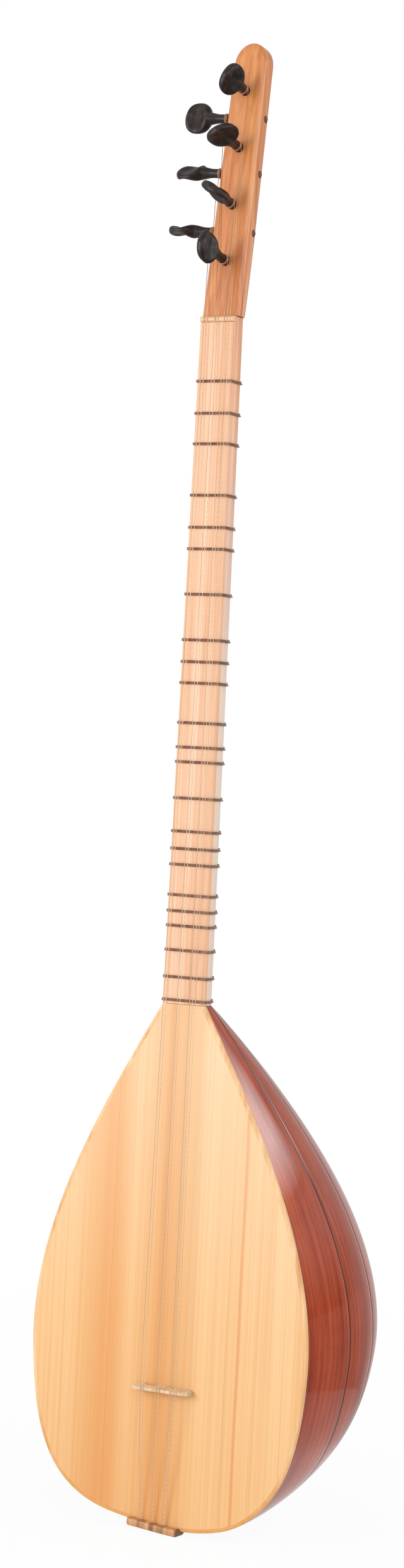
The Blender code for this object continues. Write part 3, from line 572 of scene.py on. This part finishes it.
def rib_rings(first, last, number):
    """Rings across one rib: its outer strip, rounded down at its edges, and its inner strip back."""
    stations = above_tail(BOWL_END_PLACE) * (1 - (1 - np.linspace(0, 1, 90)) ** 1.5)
    rings = []
    flows = []
    for u, along in zip(stations, stations * BODY_LENGTH):
        half_width = rim_half_width(u)
        depth = bowl_depth(u)
        fullness = bowl_fullness(u)
        girth = section_points(half_width, depth, fullness, BOWL_TOP, [1])[2]
        margin = 0.00006 / girth
        low = first + (margin if first > 0 else 0)
        high = last - (margin if last < 1 else 0)
        width = (high - low) * girth
        edge = min(EDGE_ROUND / width, 0.2)
        part = np.concatenate([[0, edge / 3, edge], np.linspace(edge, 1 - edge, 13)[1:-1],
                               [1 - edge, 1 - edge / 3, 1]])
        x, y, _ = section_points(half_width, depth, fullness, BOWL_TOP, low + (high - low) * part)
        outer = np.column_stack([x, y, np.full(x.size, body_z(u))])
        normal = bowl_normals(x, y, u)
        reach = np.minimum(part, 1 - part) * width
        dip = SEAM_DIP * np.clip(1 - reach / EDGE_ROUND, 0, 1) ** 2
        if first == 0:
            dip[part < 0.5] = 0
            reach = (1 - part) * width
        if last == 1:
            dip[part > 0.5] = 0
            reach = part * width
        inner = outer - RIB_THICKNESS * normal
        inner[:, 1] = np.maximum(inner[:, 1], BOWL_TOP)
        rings.append(np.concatenate([outer - dip[:, None] * normal, inner[::-1]]))
        across = (part - 0.5) * width + number * 1.7
        flow = np.column_stack([across, np.full(x.size, along + number * 0.9), reach])
        flows.append(np.concatenate([flow, flow[::-1]]))
    return np.array(rings), np.array(flows)


def add_bowl():
    """Nine ribs from the neck joint to the tail."""
    widths = [SIDE_RIB_WIDTH] + [INNER_RIB_WIDTH] * (RIB_COUNT - 2) + [SIDE_RIB_WIDTH]
    edges = np.concatenate([[0], np.cumsum(widths)]) / sum(widths)
    edges[-1] = 1
    middle = RIB_COUNT // 2 + 1
    for number in range(1, RIB_COUNT + 1):
        rings, flow = rib_rings(edges[number - 1], edges[number], number)
        nodes = [f"rib_{number}"] + (["tail_block"] if number == middle else [])
        add_piece(f"bowl_rib_{number}", rings, BOWL, flow=flow, sharp=50, stands_for=nodes)


# Soundboard and its edge strip

def rim_line(inset, points=120):
    """Right half of the outline, moved inwards by an inset, from the joint to the tail's middle."""
    u = 1 - (1 - np.linspace(0, 1, points)) ** 2
    line = np.column_stack([rim_half_width(u), body_z(u)])
    if inset == 0:
        return line
    along = np.gradient(line, axis=0)
    along[-1] = (-1, 0)
    along = unit(along)
    line = line + inset * np.column_stack([along[:, 1], -along[:, 0]])
    reach = (body_z(0) - line[0, 1]) / (line[0, 1] - line[1, 1])
    line[0] += (line[0] - line[1]) * reach
    return line


def add_binding():
    """The edge strip: a square section with a round outer edge, carried round the outline."""
    mirror = np.array([-1, 1])
    round_edge = 0.0009
    profile = []
    for angle in np.radians((0, 30, 60, 90)):
        profile.append((round_edge * (1 - math.sin(angle)), round_edge * (1 - math.cos(angle))))
    profile = [(BINDING_WIDTH, 0)] + profile + [(0, BOARD_THICKNESS), (BINDING_WIDTH, BOARD_THICKNESS)]
    rings = []
    for inset, depth in profile:
        line = rim_line(inset)
        line = np.concatenate([line, (line * mirror)[-2::-1]])
        rings.append(np.column_stack([line[:, 0], np.full(len(line), depth), line[:, 1]]))
    add_piece("edge_strip", np.array(rings).swapaxes(0, 1), BINDING, stands_for=["edge_binding"])


def plate_rings(outline, front, back):
    """Two copies of an (x, z) outline, at the plate's front and at its back."""
    return np.array([np.column_stack([outline[:, 0], np.full(len(outline), depth), outline[:, 1]])
                     for depth in (front, back)])


def add_soundboard():
    """A wide middle board and two side boards, cut by the outline inside the edge strip."""
    hairline = 0.00005
    line = rim_line(BINDING_WIDTH + hairline)
    widest = int(np.argmax(line[:, 0]))

    def crossings(x):
        upper = np.interp(x, line[:widest + 1, 0], line[:widest + 1, 1])
        lower = np.interp(x, line[:widest - 1:-1, 0], line[:widest - 1:-1, 1])
        return upper, lower

    edge = CENTRE_BOARD_HALF_WIDTH - hairline
    upper, lower = crossings(edge)
    above = line[(line[:, 0] < edge) & (line[:, 1] > upper)]
    below = line[(line[:, 0] < edge) & (line[:, 1] < lower)]
    half = np.concatenate([above, [(edge, upper), (edge, lower)], below])
    outline = np.concatenate([half, half[-2::-1] * (-1, 1)])
    add_piece("soundboard_middle", plate_rings(outline, 0, BOARD_THICKNESS), SPRUCE,
              stands_for=["soundboard_centre"])
    edge = CENTRE_BOARD_HALF_WIDTH + hairline
    upper, lower = crossings(edge)
    wing = np.concatenate([[(edge, upper)], line[line[:, 0] > edge], [(edge, lower)]])
    for side, name in ((1, "right"), (-1, "left")):
        add_piece(f"soundboard_side_{name}", plate_rings(wing * (side, 1), 0, BOARD_THICKNESS), SPRUCE,
                  stands_for=[f"soundboard_wing_{name}"])


# Neck, fingerboard, nut and frets

def neck_share(z):
    return min(max(-z / NECK_LENGTH, 0), 1)


def neck_half_width(z):
    return NUT_HALF_WIDTH + (JOINT_HALF_WIDTH - NUT_HALF_WIDTH) * neck_share(z)


def neck_ring(z, proud=0.0, points=48):
    """The neck's back at height z, grown by proud: a superellipse behind the fingerboard."""
    share = neck_share(z)
    depth = NUT_DEPTH + (JOINT_DEPTH - NUT_DEPTH) * share + proud
    fullness = NECK_FULLNESS + (JOINT_FULLNESS - NECK_FULLNESS) * share
    x, y, _ = section_points(neck_half_width(z) + proud, depth, fullness, FINGERBOARD_THICKNESS,
                             np.linspace(0, 1, points))
    return np.column_stack([x, y, np.full(x.size, z)])


def add_neck():
    """Neck, fingerboard with softened edges, and nut with a notch for each string."""
    heights = np.linspace(NUT_LENGTH + GAP, -NECK_LENGTH, 60)
    add_piece("neck_back", np.array([neck_ring(z) for z in heights]), NECK, stands_for=["neck"])

    soften = 0.0004
    rings = []
    for z in np.linspace(-GAP, -NECK_LENGTH, 40):
        side = neck_half_width(z)
        rings.append([(side, FINGERBOARD_THICKNESS, z), (side, soften, z), (side - 0.3 * soften, 0.3 * soften, z),
                      (side - soften, 0, z), (soften - side, 0, z), (0.3 * soften - side, 0.3 * soften, z),
                      (-side, soften, z), (-side, FINGERBOARD_THICKNESS, z)])
    add_piece("fingerboard_face", np.array(rings), FACE, sharp=60, stands_for=["fingerboard"])

    x = np.linspace(-NUT_HALF_WIDTH, NUT_HALF_WIDTH, 221)
    notch = np.zeros_like(x)
    for place, radius in zip(NUT_PLACES, STRING_RADII):
        notch = np.maximum(notch, 0.0004 * np.exp(-((x - place) / (1.6 * radius)) ** 2))
    ends = 0.0006 * smooth(np.abs(x), NUT_HALF_WIDTH - 0.0012, NUT_HALF_WIDTH)
    top = -NUT_HEIGHT + notch + ends
    angle = np.linspace(0, math.pi, 9)
    crown = 0.0012
    section = [(np.full_like(x, FINGERBOARD_THICKNESS - GAP), 0.0)]
    for turn in angle:
        section.append((top + crown * (1 - math.sin(turn)), (NUT_LENGTH / 2) * (1 - math.cos(turn))))
    section.append((np.full_like(x, FINGERBOARD_THICKNESS - GAP), NUT_LENGTH))
    rings = np.array([np.column_stack([x, y, np.full_like(x, z)]) for y, z in section]).swapaxes(0, 1)
    add_piece("string_nut", rings, BONE, stands_for=["nut"])


def fret_loop(z, proud):
    """A closed loop round neck and fingerboard, from the middle of the face to the left and back."""
    back = neck_ring(z, proud, 40)
    side = neck_half_width(z) + proud
    front = np.linspace(-side + 0.0004, side - 0.0004, 14)
    face = np.column_stack([front, np.full(14, -proud), np.full(14, z)])
    loop = np.concatenate([back, face])
    return np.roll(loop, -8, axis=0)


def add_frets():
    """Tied frets: a line wound round the neck, whose end crosses back over its turns.

    The turns follow the neck's section, stepping down by one thickness of line for each turn.
    """
    pitch = 2 * FRET_LINE_RADIUS
    for number, cents in enumerate(FRET_CENTS, start=1):
        z = -SCALE_LENGTH * (1 - 2 ** (-cents / 1200))
        loop = fret_loop(z, 0.0004 + FRET_LINE_RADIUS)
        count = len(loop)
        wound = np.tile(loop, (FRET_TURNS, 1))
        turn = np.arange(len(wound)) / count
        wound[:, 2] = z + pitch * ((FRET_TURNS - 1) / 2 - turn + 0.5)
        over = loop[:9]
        step = np.arange(1, len(over) + 1) / len(over)
        outward = unit(over * (1, 1, 0) - (0, 0.012, 0))
        over = over + outward * (2 * FRET_LINE_RADIUS * smooth(step, 0, 0.35))[:, None]
        over[:, 2] = wound[-1, 2] + pitch * (FRET_TURNS + 0.2) * smooth(step, 0.1, 1)
        path = np.concatenate([wound, over])
        rings = tube_rings(path, FRET_LINE_RADIUS, 8, np.array([0, 0, 1.0]))
        add_piece(f"tied_fret_{number:02d}", rings, NYLON, body=f"fret_{number:02d}",
                  stands_for=[f"fret_{number:02d}"])


# Peghead and pegs

HEAD_UP = np.array([0, math.sin(HEAD_LEAN), math.cos(HEAD_LEAN)])
HEAD_OUT = np.array([0, -math.cos(HEAD_LEAN), math.sin(HEAD_LEAN)])
HEAD_START = np.array([0, FINGERBOARD_THICKNESS, NUT_LENGTH + 2 * GAP])
ACROSS = np.array([1.0, 0, 0])


def head_half_width(t):
    return HEAD_FOOT_HALF_WIDTH + (HEAD_TOP_HALF_WIDTH - HEAD_FOOT_HALF_WIDTH) * t / HEAD_LENGTH


def head_depth(t):
    return HEAD_FOOT_DEPTH + (HEAD_TOP_DEPTH - HEAD_FOOT_DEPTH) * t / HEAD_LENGTH


def head_point(t, x, depth):
    """World places at t along the head, x across it and a depth behind its face."""
    t, x, depth = np.broadcast_arrays(t, x, depth)
    return HEAD_START + t[..., None] * HEAD_UP + x[..., None] * ACROSS - depth[..., None] * HEAD_OUT


def head_ring(t, share):
    """A rectangle with round corners across the head, drawn in by a share at the crown."""
    half_width = head_half_width(t) * share
    middle = head_depth(t) / 2
    half_depth = middle * (0.6 + 0.4 * share)
    back_radius = HEAD_BACK_RADIUS + (HEAD_FOOT_BACK_RADIUS - HEAD_BACK_RADIUS) * max(1 - t / HEAD_BLEND, 0) ** 2
    angle = np.radians(np.arange(0, 360, 90)[:, None] + np.linspace(0, 90, 9)).ravel()
    side = np.repeat([1, -1, -1, 1], 9)
    face = np.repeat([1, 1, -1, -1], 9)
    radius = np.where(face > 0, back_radius, HEAD_EDGE_RADIUS) * share
    x = side * (half_width - radius) + radius * np.cos(angle)
    depth = face * (half_depth - radius) + radius * np.sin(angle)
    return head_point(np.full(x.size, t), x, middle + depth)


def peg_frames():
    """For each peg: name, mouth of its hole, wood behind it, outward and sideways axes, turn, push.

    All pegs rise a little towards the head's top. A peg's push is how much further it stands
    in the head than the first one.
    """
    frames = []
    along = 1 / math.cos(PEG_RISE)
    out = math.cos(PEG_RISE) * HEAD_OUT + math.sin(PEG_RISE) * HEAD_UP
    fronts = zip(FRONT_PEG_PLACES, FRONT_PEG_TURNS, FRONT_PEG_PUSHES)
    for number, (t, turn, push) in enumerate(fronts, start=1):
        wood = head_depth(t) * along
        frames.append((f"peg_front_{number}", head_point(t, 0, 0), wood, out, ACROSS, turn, push))
    out = -math.cos(PEG_RISE) * ACROSS + math.sin(PEG_RISE) * HEAD_UP
    for number, (t, turn) in enumerate(zip(SIDE_PEG_PLACES, SIDE_PEG_TURNS), start=1):
        mouth = head_point(t, -head_half_width(t), SIDE_PEG_DEPTH)
        sideways = np.cross(out, HEAD_OUT)
        frames.append((f"peg_side_{number}", mouth, 2 * head_half_width(t) * along, out, sideways, turn, 0))
    return frames


def shank_radius(s):
    """The shank's radius, which shrinks from the mouth of the hole inwards."""
    return PEG_SHANK_RADIUS + np.minimum(s, 0) * PEG_TAPER / 2


def add_peghead():
    """A leaning bar with round edges and an arched top, bored for the pegs."""
    straight = HEAD_LENGTH - HEAD_CROWN
    rings = [head_ring(t, 1) for t in np.linspace(0, straight, 40)]
    rings[0][:, 2] = HEAD_START[2]
    for angle in np.radians((10, 20, 30, 40, 50, 58, 66, 73, 79, 84)):
        rings.append(head_ring(straight + HEAD_CROWN * math.sin(angle), math.cos(angle)))
    head = add_piece("peg_head", np.array(rings), HEAD, sharp=50, stands_for=["peghead"])
    holes = []
    for name, mouth, wood, out, *_ in peg_frames():
        reach = np.array([0.01, 0, -wood - 0.01])
        path = mouth + reach[:, None] * out
        rings = tube_rings(path, shank_radius(reach) + 0.00025, 32, HEAD_UP)
        holes.append(rings)
    mesh = bpy.data.meshes.new("peg_bores")
    points = np.concatenate([rings.reshape(-1, 3) for rings in holes])
    faces = []
    for index in range(len(holes)):
        quads = grid_quads(3, 32, False)
        caps = [np.arange(32)[::-1], np.arange(64, 96)]
        own = holes[index].reshape(-1, 3)
        if volume_of(own - own.mean(axis=0), quads, caps) < 0:
            quads = quads[:, ::-1]
            caps = [cap[::-1] for cap in caps]
        faces += (quads + 96 * index).tolist() + [(cap + 96 * index).tolist() for cap in caps]
    mesh.from_pydata(points.tolist(), [], faces)
    bores = bpy.data.objects.new("peg_bores", mesh)
    bpy.context.scene.collection.objects.link(bores)
    cut = head.modifiers.new("bores", "BOOLEAN")
    cut.object = bores
    cut.operation = "DIFFERENCE"
    cut.solver = "EXACT"
    bpy.context.view_layer.update()
    graph = bpy.context.evaluated_depsgraph_get()
    bored = bpy.data.meshes.new_from_object(head.evaluated_get(graph))
    head.modifiers.clear()
    head.data = bored
    bored.shade_smooth()
    bored.set_sharp_from_angle(angle=math.radians(50))
    bpy.data.objects.remove(bores)


def peg_profile():
    """Places along a peg outside the head, with its half width, half thickness and hollow there.

    The shank swells to a belly, narrows to a waist and ends in a bead. The blade's plan is an
    ellipse. The hollow is the share by which the blade's faces are sunk inside a raised rim.
    """
    s = np.concatenate([np.linspace(0, PEG_STRAIGHT, 8), PEG_STRAIGHT + (PEG_REACH - PEG_STRAIGHT)
                        * np.sin(np.linspace(0, 1, 60)[1:-1] * math.pi / 2)])
    thick = PEG_SHANK_RADIUS + (PEG_BELLY_HALF_THICKNESS - PEG_SHANK_RADIUS) * smooth(s, PEG_STRAIGHT, PEG_BELLY_PLACE)
    thick += (PEG_WAIST_HALF_THICKNESS - PEG_BELLY_HALF_THICKNESS) * smooth(s, PEG_BELLY_PLACE, PEG_WAIST_PLACE)
    thick += (PEG_BEAD_HALF_THICKNESS - PEG_WAIST_HALF_THICKNESS) * smooth(s, PEG_WAIST_PLACE, PEG_BEAD_PLACE)
    end = np.clip((s - PEG_BEAD_PLACE) / (PEG_REACH - PEG_BEAD_PLACE), 0, 1)
    thick = thick * np.sqrt(1 - end ** 2)
    blade = np.clip(1 - np.abs((s - PEG_BLADE_CENTRE) / PEG_BLADE_HALF_LENGTH) ** 2.3, 0, 1) ** (1 / 2.3)
    width = np.maximum(PEG_BLADE_HALF_WIDTH * blade, thick)
    hollow = 0.45 * smooth(s, 0.024, 0.029) * (1 - smooth(s, 0.0365, 0.041))
    return s, width, thick, hollow


def add_pegs():
    """Seven pegs, each turned about its own axis as it stands."""
    s, width, thick, hollow = peg_profile()
    angle = np.arange(48) / 48 * math.tau
    sine = np.sin(angle)[None]
    for name, mouth, wood, out, sideways, turn, push in peg_frames():
        inside = np.array([-wood - PEG_TIP, PEG_TIP_BEVEL - wood - PEG_TIP, -wood, -wood / 2])
        inner = shank_radius(inside)
        inner[0] -= PEG_TIP_BEVEL
        shown = s > push + PEG_TIP_BEVEL
        reach = np.concatenate([inside, [0], s[shown] - push])
        half_width = np.concatenate([inner, [PEG_SHANK_RADIUS], width[shown]])
        half_thickness = np.concatenate([inner, [PEG_SHANK_RADIUS], thick[shown]])
        dish = np.concatenate([np.zeros(5), hollow[shown]])
        flatness = smooth(half_width - half_thickness, 0, 0.006)[:, None]
        bulge = np.sign(sine) * np.abs(sine) ** (1 - 0.35 * flatness)
        across = half_width[:, None] * np.cos(angle)[None]
        above = half_thickness[:, None] * bulge * (1 - dish[:, None] * np.abs(sine) ** 4)
        turned = math.radians(turn)
        third = np.cross(out, sideways)
        first = math.cos(turned) * sideways + math.sin(turned) * third
        second = math.cos(turned) * third - math.sin(turned) * sideways
        rings = mouth + reach[:, None, None] * out + across[..., None] * first + above[..., None] * second
        flow = np.stack([np.broadcast_to(reach[:, None], across.shape), across, above], axis=-1)
        add_piece(f"tuning_{name}", rings, PEG, body=name, flow=flow, sharp=60, stands_for=[name])


# Strings, bridge and tailpiece

COIL_TURNS = 4.25
COIL_PITCH = 0.00058
COIL_START = 0.0033
COIL_TAIL = 0.003
TAIL_Z = float(body_z(1.0))
TAILPIECE_CENTRE = -0.0033
TAILPIECE_HALF_WIDTH = 0.0235
TAILPIECE_LIP = 0.0025
TAILPIECE_BODY = 0.00375
TAILPIECE_PROUD = 0.006
TAILPIECE_DEPTH = 0.008


def coil(centre, out, side, radius):
    """Turns round a peg's shank, climbing outwards by one pitch each, and a straight tail."""
    turn = np.linspace(0, COIL_TURNS, int(COIL_TURNS * 36) + 1)
    angle = turn[:, None] * math.tau
    rising = np.cross(out, side)
    points = centre + radius * (np.cos(angle) * side + np.sin(angle) * rising)
    points = points + (COIL_START + COIL_PITCH * turn)[:, None] * out
    heading = -math.sin(angle[-1, 0]) * side + math.cos(angle[-1, 0]) * rising
    tail = points[-1] + np.linspace(0, COIL_TAIL, 5)[1:, None] * heading
    return np.concatenate([points, tail])


def add_strings():
    """Seven strings from the tailpiece over bridge and nut to the pegs, each a round tube."""
    frames = {name: values for name, *values in peg_frames()}
    for index, radius in enumerate(STRING_RADII):
        hitch = (HITCH_PLACES[index], -0.003, TAIL_Z + TAILPIECE_LIP + GAP)
        after = (HITCH_PLACES[index], -0.003, TAIL_Z + TAILPIECE_LIP + GAP + 4 * radius)
        bridge = (BRIDGE_PLACES[index], -BRIDGE_HEIGHT - 0.0003 - radius, BRIDGE_Z)
        nut = (NUT_PLACES[index], -NUT_HEIGHT - 0.0002 - radius, NUT_LENGTH / 2)
        coil_radius = PEG_SHANK_RADIUS + 0.0001 + radius
        if index < len(SIDE_PEG_PLACES):
            mouth, _, out, *_ = frames[f"peg_side_{index + 1}"]
            turns = coil(mouth, out, HEAD_OUT, coil_radius)
            t = SIDE_PEG_PLACES[index] - 0.021
            lead = [nut, tuple(head_point(t, -head_half_width(t) - 0.0008, 0.0010))]
        else:
            mouth, _, out, *_ = frames[f"peg_front_{index - len(SIDE_PEG_PLACES) + 1}"]
            turns = coil(mouth, out, ACROSS, coil_radius)
            lead = [nut]
        path = np.concatenate([[hitch, after, bridge], lead, turns])
        rings = tube_rings(path, radius, 10, out)
        wire = WOUND_WIRE if index in (0, 2, 4) else PLAIN_WIRE
        add_piece(f"lute_string_{index + 1}", rings, wire, flow=tube_flow(path, 10), sharp=70,
                  stands_for=[f"string_{index + 1}"])


def add_bridge():
    """A thin bridge on three feet: arches between the feet, a crown that falls towards its ends."""
    x = np.linspace(-BRIDGE_HALF_LENGTH, BRIDGE_HALF_LENGTH, 161)
    span = np.abs(x) / BRIDGE_HALF_LENGTH
    arch = np.clip(np.sin(np.clip((span - 0.17) / (0.66 - 0.17), 0, 1) * math.pi), 0, 1) ** 0.6
    low = 0.0002 + 0.0035 * arch
    high = BRIDGE_HEIGHT - 0.004 * np.clip((span - 0.72) / 0.28, 0, 1) ** 2
    notch = np.zeros_like(x)
    for place, radius in zip(BRIDGE_PLACES, STRING_RADII):
        notch = np.maximum(notch, 0.0002 * np.exp(-((x - place) / (1.6 * radius)) ** 2))
    high = high - notch
    share = np.linspace(0, 1, 7)[:, None]
    height = low + (high - low) * share
    thickness = 0.006 + (0.0022 - 0.006) * (height / BRIDGE_HEIGHT) ** 0.8
    thickness = thickness * (1 - 0.35 * smooth(span, 0.94, 1))
    front = np.stack([np.broadcast_to(x, height.shape), -height, BRIDGE_Z - thickness / 2], axis=-1)
    back = np.stack([np.broadcast_to(x, height.shape), -height, BRIDGE_Z + thickness / 2], axis=-1)
    rings = np.concatenate([front, back[::-1]]).swapaxes(0, 1)
    add_piece("string_bridge", rings, BRIDGE_WOOD, body="bridge", stands_for=["bridge"])


def add_tailpiece():
    """A rounded block under the lower rim, with a lip over the soundboard."""
    x = np.concatenate([-1 + 0.08 * (1 - np.cos(np.linspace(0, 90, 8) / 180 * math.pi)),
                        np.linspace(-0.9, 0.9, 30),
                        1 - 0.08 * (1 - np.cos(np.linspace(90, 0, 8) / 180 * math.pi))])
    ends = np.sqrt(np.clip(1 - (np.clip(np.abs(x) - 0.92, 0, 1) / 0.08) ** 2, 0, 1))
    lip = TAIL_Z + TAILPIECE_LIP
    seat = TAIL_Z - GAP
    low = TAIL_Z - TAILPIECE_BODY
    arc = np.radians(np.linspace(0, 90, 6))
    round_off = 0.002
    profile = [(-GAP, lip)]
    profile += [(-TAILPIECE_PROUD + round_off * (1 - math.sin(a)), lip - round_off * (1 - math.cos(a))) for a in arc]
    profile += [(-TAILPIECE_PROUD + round_off * (1 - math.cos(a)), low + round_off * (1 - math.sin(a))) for a in arc]
    profile += [(TAILPIECE_DEPTH - 0.002, low), (TAILPIECE_DEPTH, low + 0.0015), (TAILPIECE_DEPTH, seat), (-GAP, seat)]
    profile = np.array(profile)
    rings = np.empty((x.size, len(profile), 3))
    rings[..., 0] = (TAILPIECE_CENTRE + x * TAILPIECE_HALF_WIDTH)[:, None]
    shrink = (0.6 + 0.4 * ends)[:, None]
    rings[..., 1] = np.where(profile[:, 0] < -GAP, -GAP + (profile[:, 0] + GAP) * shrink, profile[:, 0])
    rings[..., 2] = np.where(profile[:, 1] < seat, seat + (profile[:, 1] - seat) * shrink, profile[:, 1])
    add_piece("string_tailpiece", rings, TAIL_WOOD, stands_for=["tailpiece"])


# Camera, stage and light

def add_camera():
    """The fitted camera: turned to its azimuth and elevation, then rolled about its own axis."""
    azimuth, elevation, roll = CAMERA_AZIMUTH, CAMERA_ELEVATION, CAMERA_ROLL
    right = np.array([math.cos(azimuth), math.sin(azimuth), 0])
    back = np.array([math.sin(azimuth) * math.cos(elevation), -math.cos(azimuth) * math.cos(elevation),
                     math.sin(elevation)])
    up = np.cross(back, right)
    rolled_right = math.cos(roll) * right + math.sin(roll) * up
    rolled_up = math.cos(roll) * up - math.sin(roll) * right
    data = bpy.data.cameras.new("camera")
    data.sensor_fit = "VERTICAL"
    data.sensor_height = SENSOR
    data.lens = FOCAL_PIXELS / PHOTO_HEIGHT * SENSOR
    camera = bpy.data.objects.new("camera", data)
    bpy.context.scene.collection.objects.link(camera)
    matrix = np.eye(4)
    matrix[:3, 0] = rolled_right
    matrix[:3, 1] = rolled_up
    matrix[:3, 2] = back
    matrix[:3, 3] = CAMERA_PLACE
    camera.matrix_world = matrix.T.tolist()
    bpy.context.scene.camera = camera


def add_floor():
    """A pale floor just under the tailpiece that fades to the white of the background.

    In glossy reflections it is a bright sheet round the lute, and dark beyond the sheet's edge.
    """
    half = 6.0
    height = TAIL_Z - TAILPIECE_BODY - TAIL_SLANT - 0.0005
    mesh = bpy.data.meshes.new("floor")
    corners = [(-half, -half, height), (half, -half, height), (half, half, height), (-half, half, height)]
    mesh.from_pydata(corners, [], [(0, 1, 2, 3)])
    floor = bpy.data.objects.new("floor", mesh)
    bpy.context.scene.collection.objects.link(floor)
    made = Finish("pale floor", 0.6)
    made.shader.inputs["Base Color"].default_value = (0.85, 0.85, 0.85, 1)
    made.shader.inputs["Specular IOR Level"].default_value = 0.1
    rays = made.node("ShaderNodeLightPath")
    distance = made.node("ShaderNodeVectorMath", {0: made.place(), 1: (0, 0.1, height)}, operation="DISTANCE")
    near = distance.outputs["Value"]
    seen = made.sum("MULTIPLY", rays.outputs["Is Camera Ray"], made.scaled(near, 0.15, 1.3, 0.95, 1.0))
    share = made.sum("MAXIMUM", seen, rays.outputs["Is Glossy Ray"])
    sheet = made.ramp(near, (0.17, grey(0.85)), (0.24, grey(0.6)), (0.32, grey(0.5)), (0.49, grey(0.34)),
                      (0.53, grey(0.0)))
    sideways = made.sum("DIVIDE", made.axis(made.place(), "X"), near)
    beyond = made.scaled(sideways, -0.12, 0.35, 0.6, 0.18)
    sheet = made.blend(1.0, sheet, beyond, "LIGHTEN")
    shown = made.blend(rays.outputs["Is Glossy Ray"], grey(1.0), sheet)
    glow = made.node("ShaderNodeEmission", {"Color": shown, "Strength": 1.0})
    mixed = made.node("ShaderNodeMixShader", {0: share, 1: made.shader.outputs[0], 2: glow.outputs[0]})
    made.tree.links.new(mixed.outputs[0], made.tree.nodes["Material Output"].inputs["Surface"])
    mesh.materials.append(made.material)


def facing(place, target):
    """The matrix that stands a lamp or a panel at a place and turns its face to a target."""
    back = unit(np.array(place) - np.array(target))
    right = unit(np.cross([0, 0, 1.0], back))
    matrix = np.eye(4)
    matrix[:3, 0] = right
    matrix[:3, 1] = np.cross(back, right)
    matrix[:3, 2] = back
    matrix[:3, 3] = place
    return matrix.T.tolist()


def add_light(name, place, target, size, power):
    """A soft rectangular lamp at a place, facing a target."""
    data = bpy.data.lights.new(name, "AREA")
    data.shape = "RECTANGLE"
    data.size, data.size_y = size
    data.energy = power
    lamp = bpy.data.objects.new(name, data)
    bpy.context.scene.collection.objects.link(lamp)
    lamp.matrix_world = facing(place, target)


def add_window(place, target, size, brightness):
    """A bright panel with soft edges beside the scene, seen only in the varnish that mirrors it."""
    half_width, half_height = size[0] / 2, size[1] / 2
    mesh = bpy.data.meshes.new("window")
    corners = [(-half_width, -half_height, 0), (half_width, -half_height, 0),
               (half_width, half_height, 0), (-half_width, half_height, 0)]
    mesh.from_pydata(corners, [], [(0, 1, 2, 3)])
    window = bpy.data.objects.new("window", mesh)
    bpy.context.scene.collection.objects.link(window)
    window.matrix_world = facing(place, target)
    window.visible_camera = False
    window.visible_diffuse = False
    made = Finish("window", 1.0)
    place = made.place()
    clear = 0.25
    edge = made.sum("MULTIPLY", made.scaled(made.sum("ABSOLUTE", made.axis(place, "X")), half_width, clear * half_width),
                    made.scaled(made.sum("ABSOLUTE", made.axis(place, "Y")), half_height, clear * half_height))
    glow = made.node("ShaderNodeEmission", {"Strength": made.sum("MULTIPLY", edge, brightness)})
    through = made.node("ShaderNodeBsdfTransparent")
    both = made.node("ShaderNodeAddShader", {0: glow.outputs[0], 1: through.outputs[0]})
    made.tree.links.new(both.outputs[0], made.tree.nodes["Material Output"].inputs["Surface"])
    mesh.materials.append(made.material)


def add_world(level):
    """An even light that is white to the camera.

    A glossy surface mirrors it dark at the horizon on the right, and brighter above and round it.
    """
    world = bpy.data.worlds.new("studio")
    world.use_nodes = True
    bpy.context.scene.world = world
    tree = world.node_tree
    background = tree.nodes["Background"]
    rays = tree.nodes.new("ShaderNodeLightPath")
    direction = tree.nodes.new("ShaderNodeTexCoord")
    parts = tree.nodes.new("ShaderNodeSeparateXYZ")
    tree.links.new(direction.outputs["Generated"], parts.inputs[0])
    gradients = []
    for axis, span in (("Z", (0.0, 0.14, 0.1, 0.45)), ("X", (-0.12, 0.35, 0.65, 0.1))):
        gradient = tree.nodes.new("ShaderNodeMapRange")
        tree.links.new(parts.outputs[axis], gradient.inputs["Value"])
        for key, value in zip(("From Min", "From Max", "To Min", "To Max"), span):
            gradient.inputs[key].default_value = value
        gradients.append(gradient.outputs[0])
    mirrored = tree.nodes.new("ShaderNodeMath")
    mirrored.operation = "MAXIMUM"
    for socket, gradient in zip(mirrored.inputs, gradients):
        tree.links.new(gradient, socket)
    strength = mirrored.outputs[0]
    for ray in ("Is Glossy Ray", "Is Camera Ray", "Is Transmission Ray"):
        choice = tree.nodes.new("ShaderNodeMix")
        tree.links.new(rays.outputs[ray], choice.inputs["Factor"])
        if ray == "Is Glossy Ray":
            choice.inputs["A"].default_value = level
            tree.links.new(strength, choice.inputs["B"])
        else:
            tree.links.new(strength, choice.inputs["A"])
            choice.inputs["B"].default_value = 1.0
        strength = choice.outputs["Result"]
    tree.links.new(strength, background.inputs["Strength"])
    background.inputs["Color"].default_value = (1, 1, 1, 1)


add_camera()
add_bowl()
add_binding()
add_soundboard()
add_neck()
add_frets()
add_peghead()
add_pegs()
add_strings()
add_bridge()
add_tailpiece()
for hidden in ("neck_block", "brace_upper", "brace_lower"):
    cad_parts[hidden].data.materials.clear()
    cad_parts[hidden].data.materials.append(BLOCK)
add_floor()
add_light("key", (-1.6, -2.6, 0.1), (0, 0, -0.5), (1.4, 1.4), 43)
add_light("front", (1.9, -2.5, 0.9), (0, 0, -0.4), (1.2, 1.2), 14)
add_light("side", (2.7, 0.5, 0.9), (0, 0, -0.5), (1.2, 1.4), 20)
add_window((1.0, 2.25, 0.2), (0.1, 0.05, -0.65), (0.74, 0.64), 3.3)
add_window((2.2, -1.0, 0.95), (0, 0, 0.1), (1.4, 1.3), 3.6)
add_world(0.62)

scene = bpy.context.scene
scene.view_settings.view_transform = "Standard"
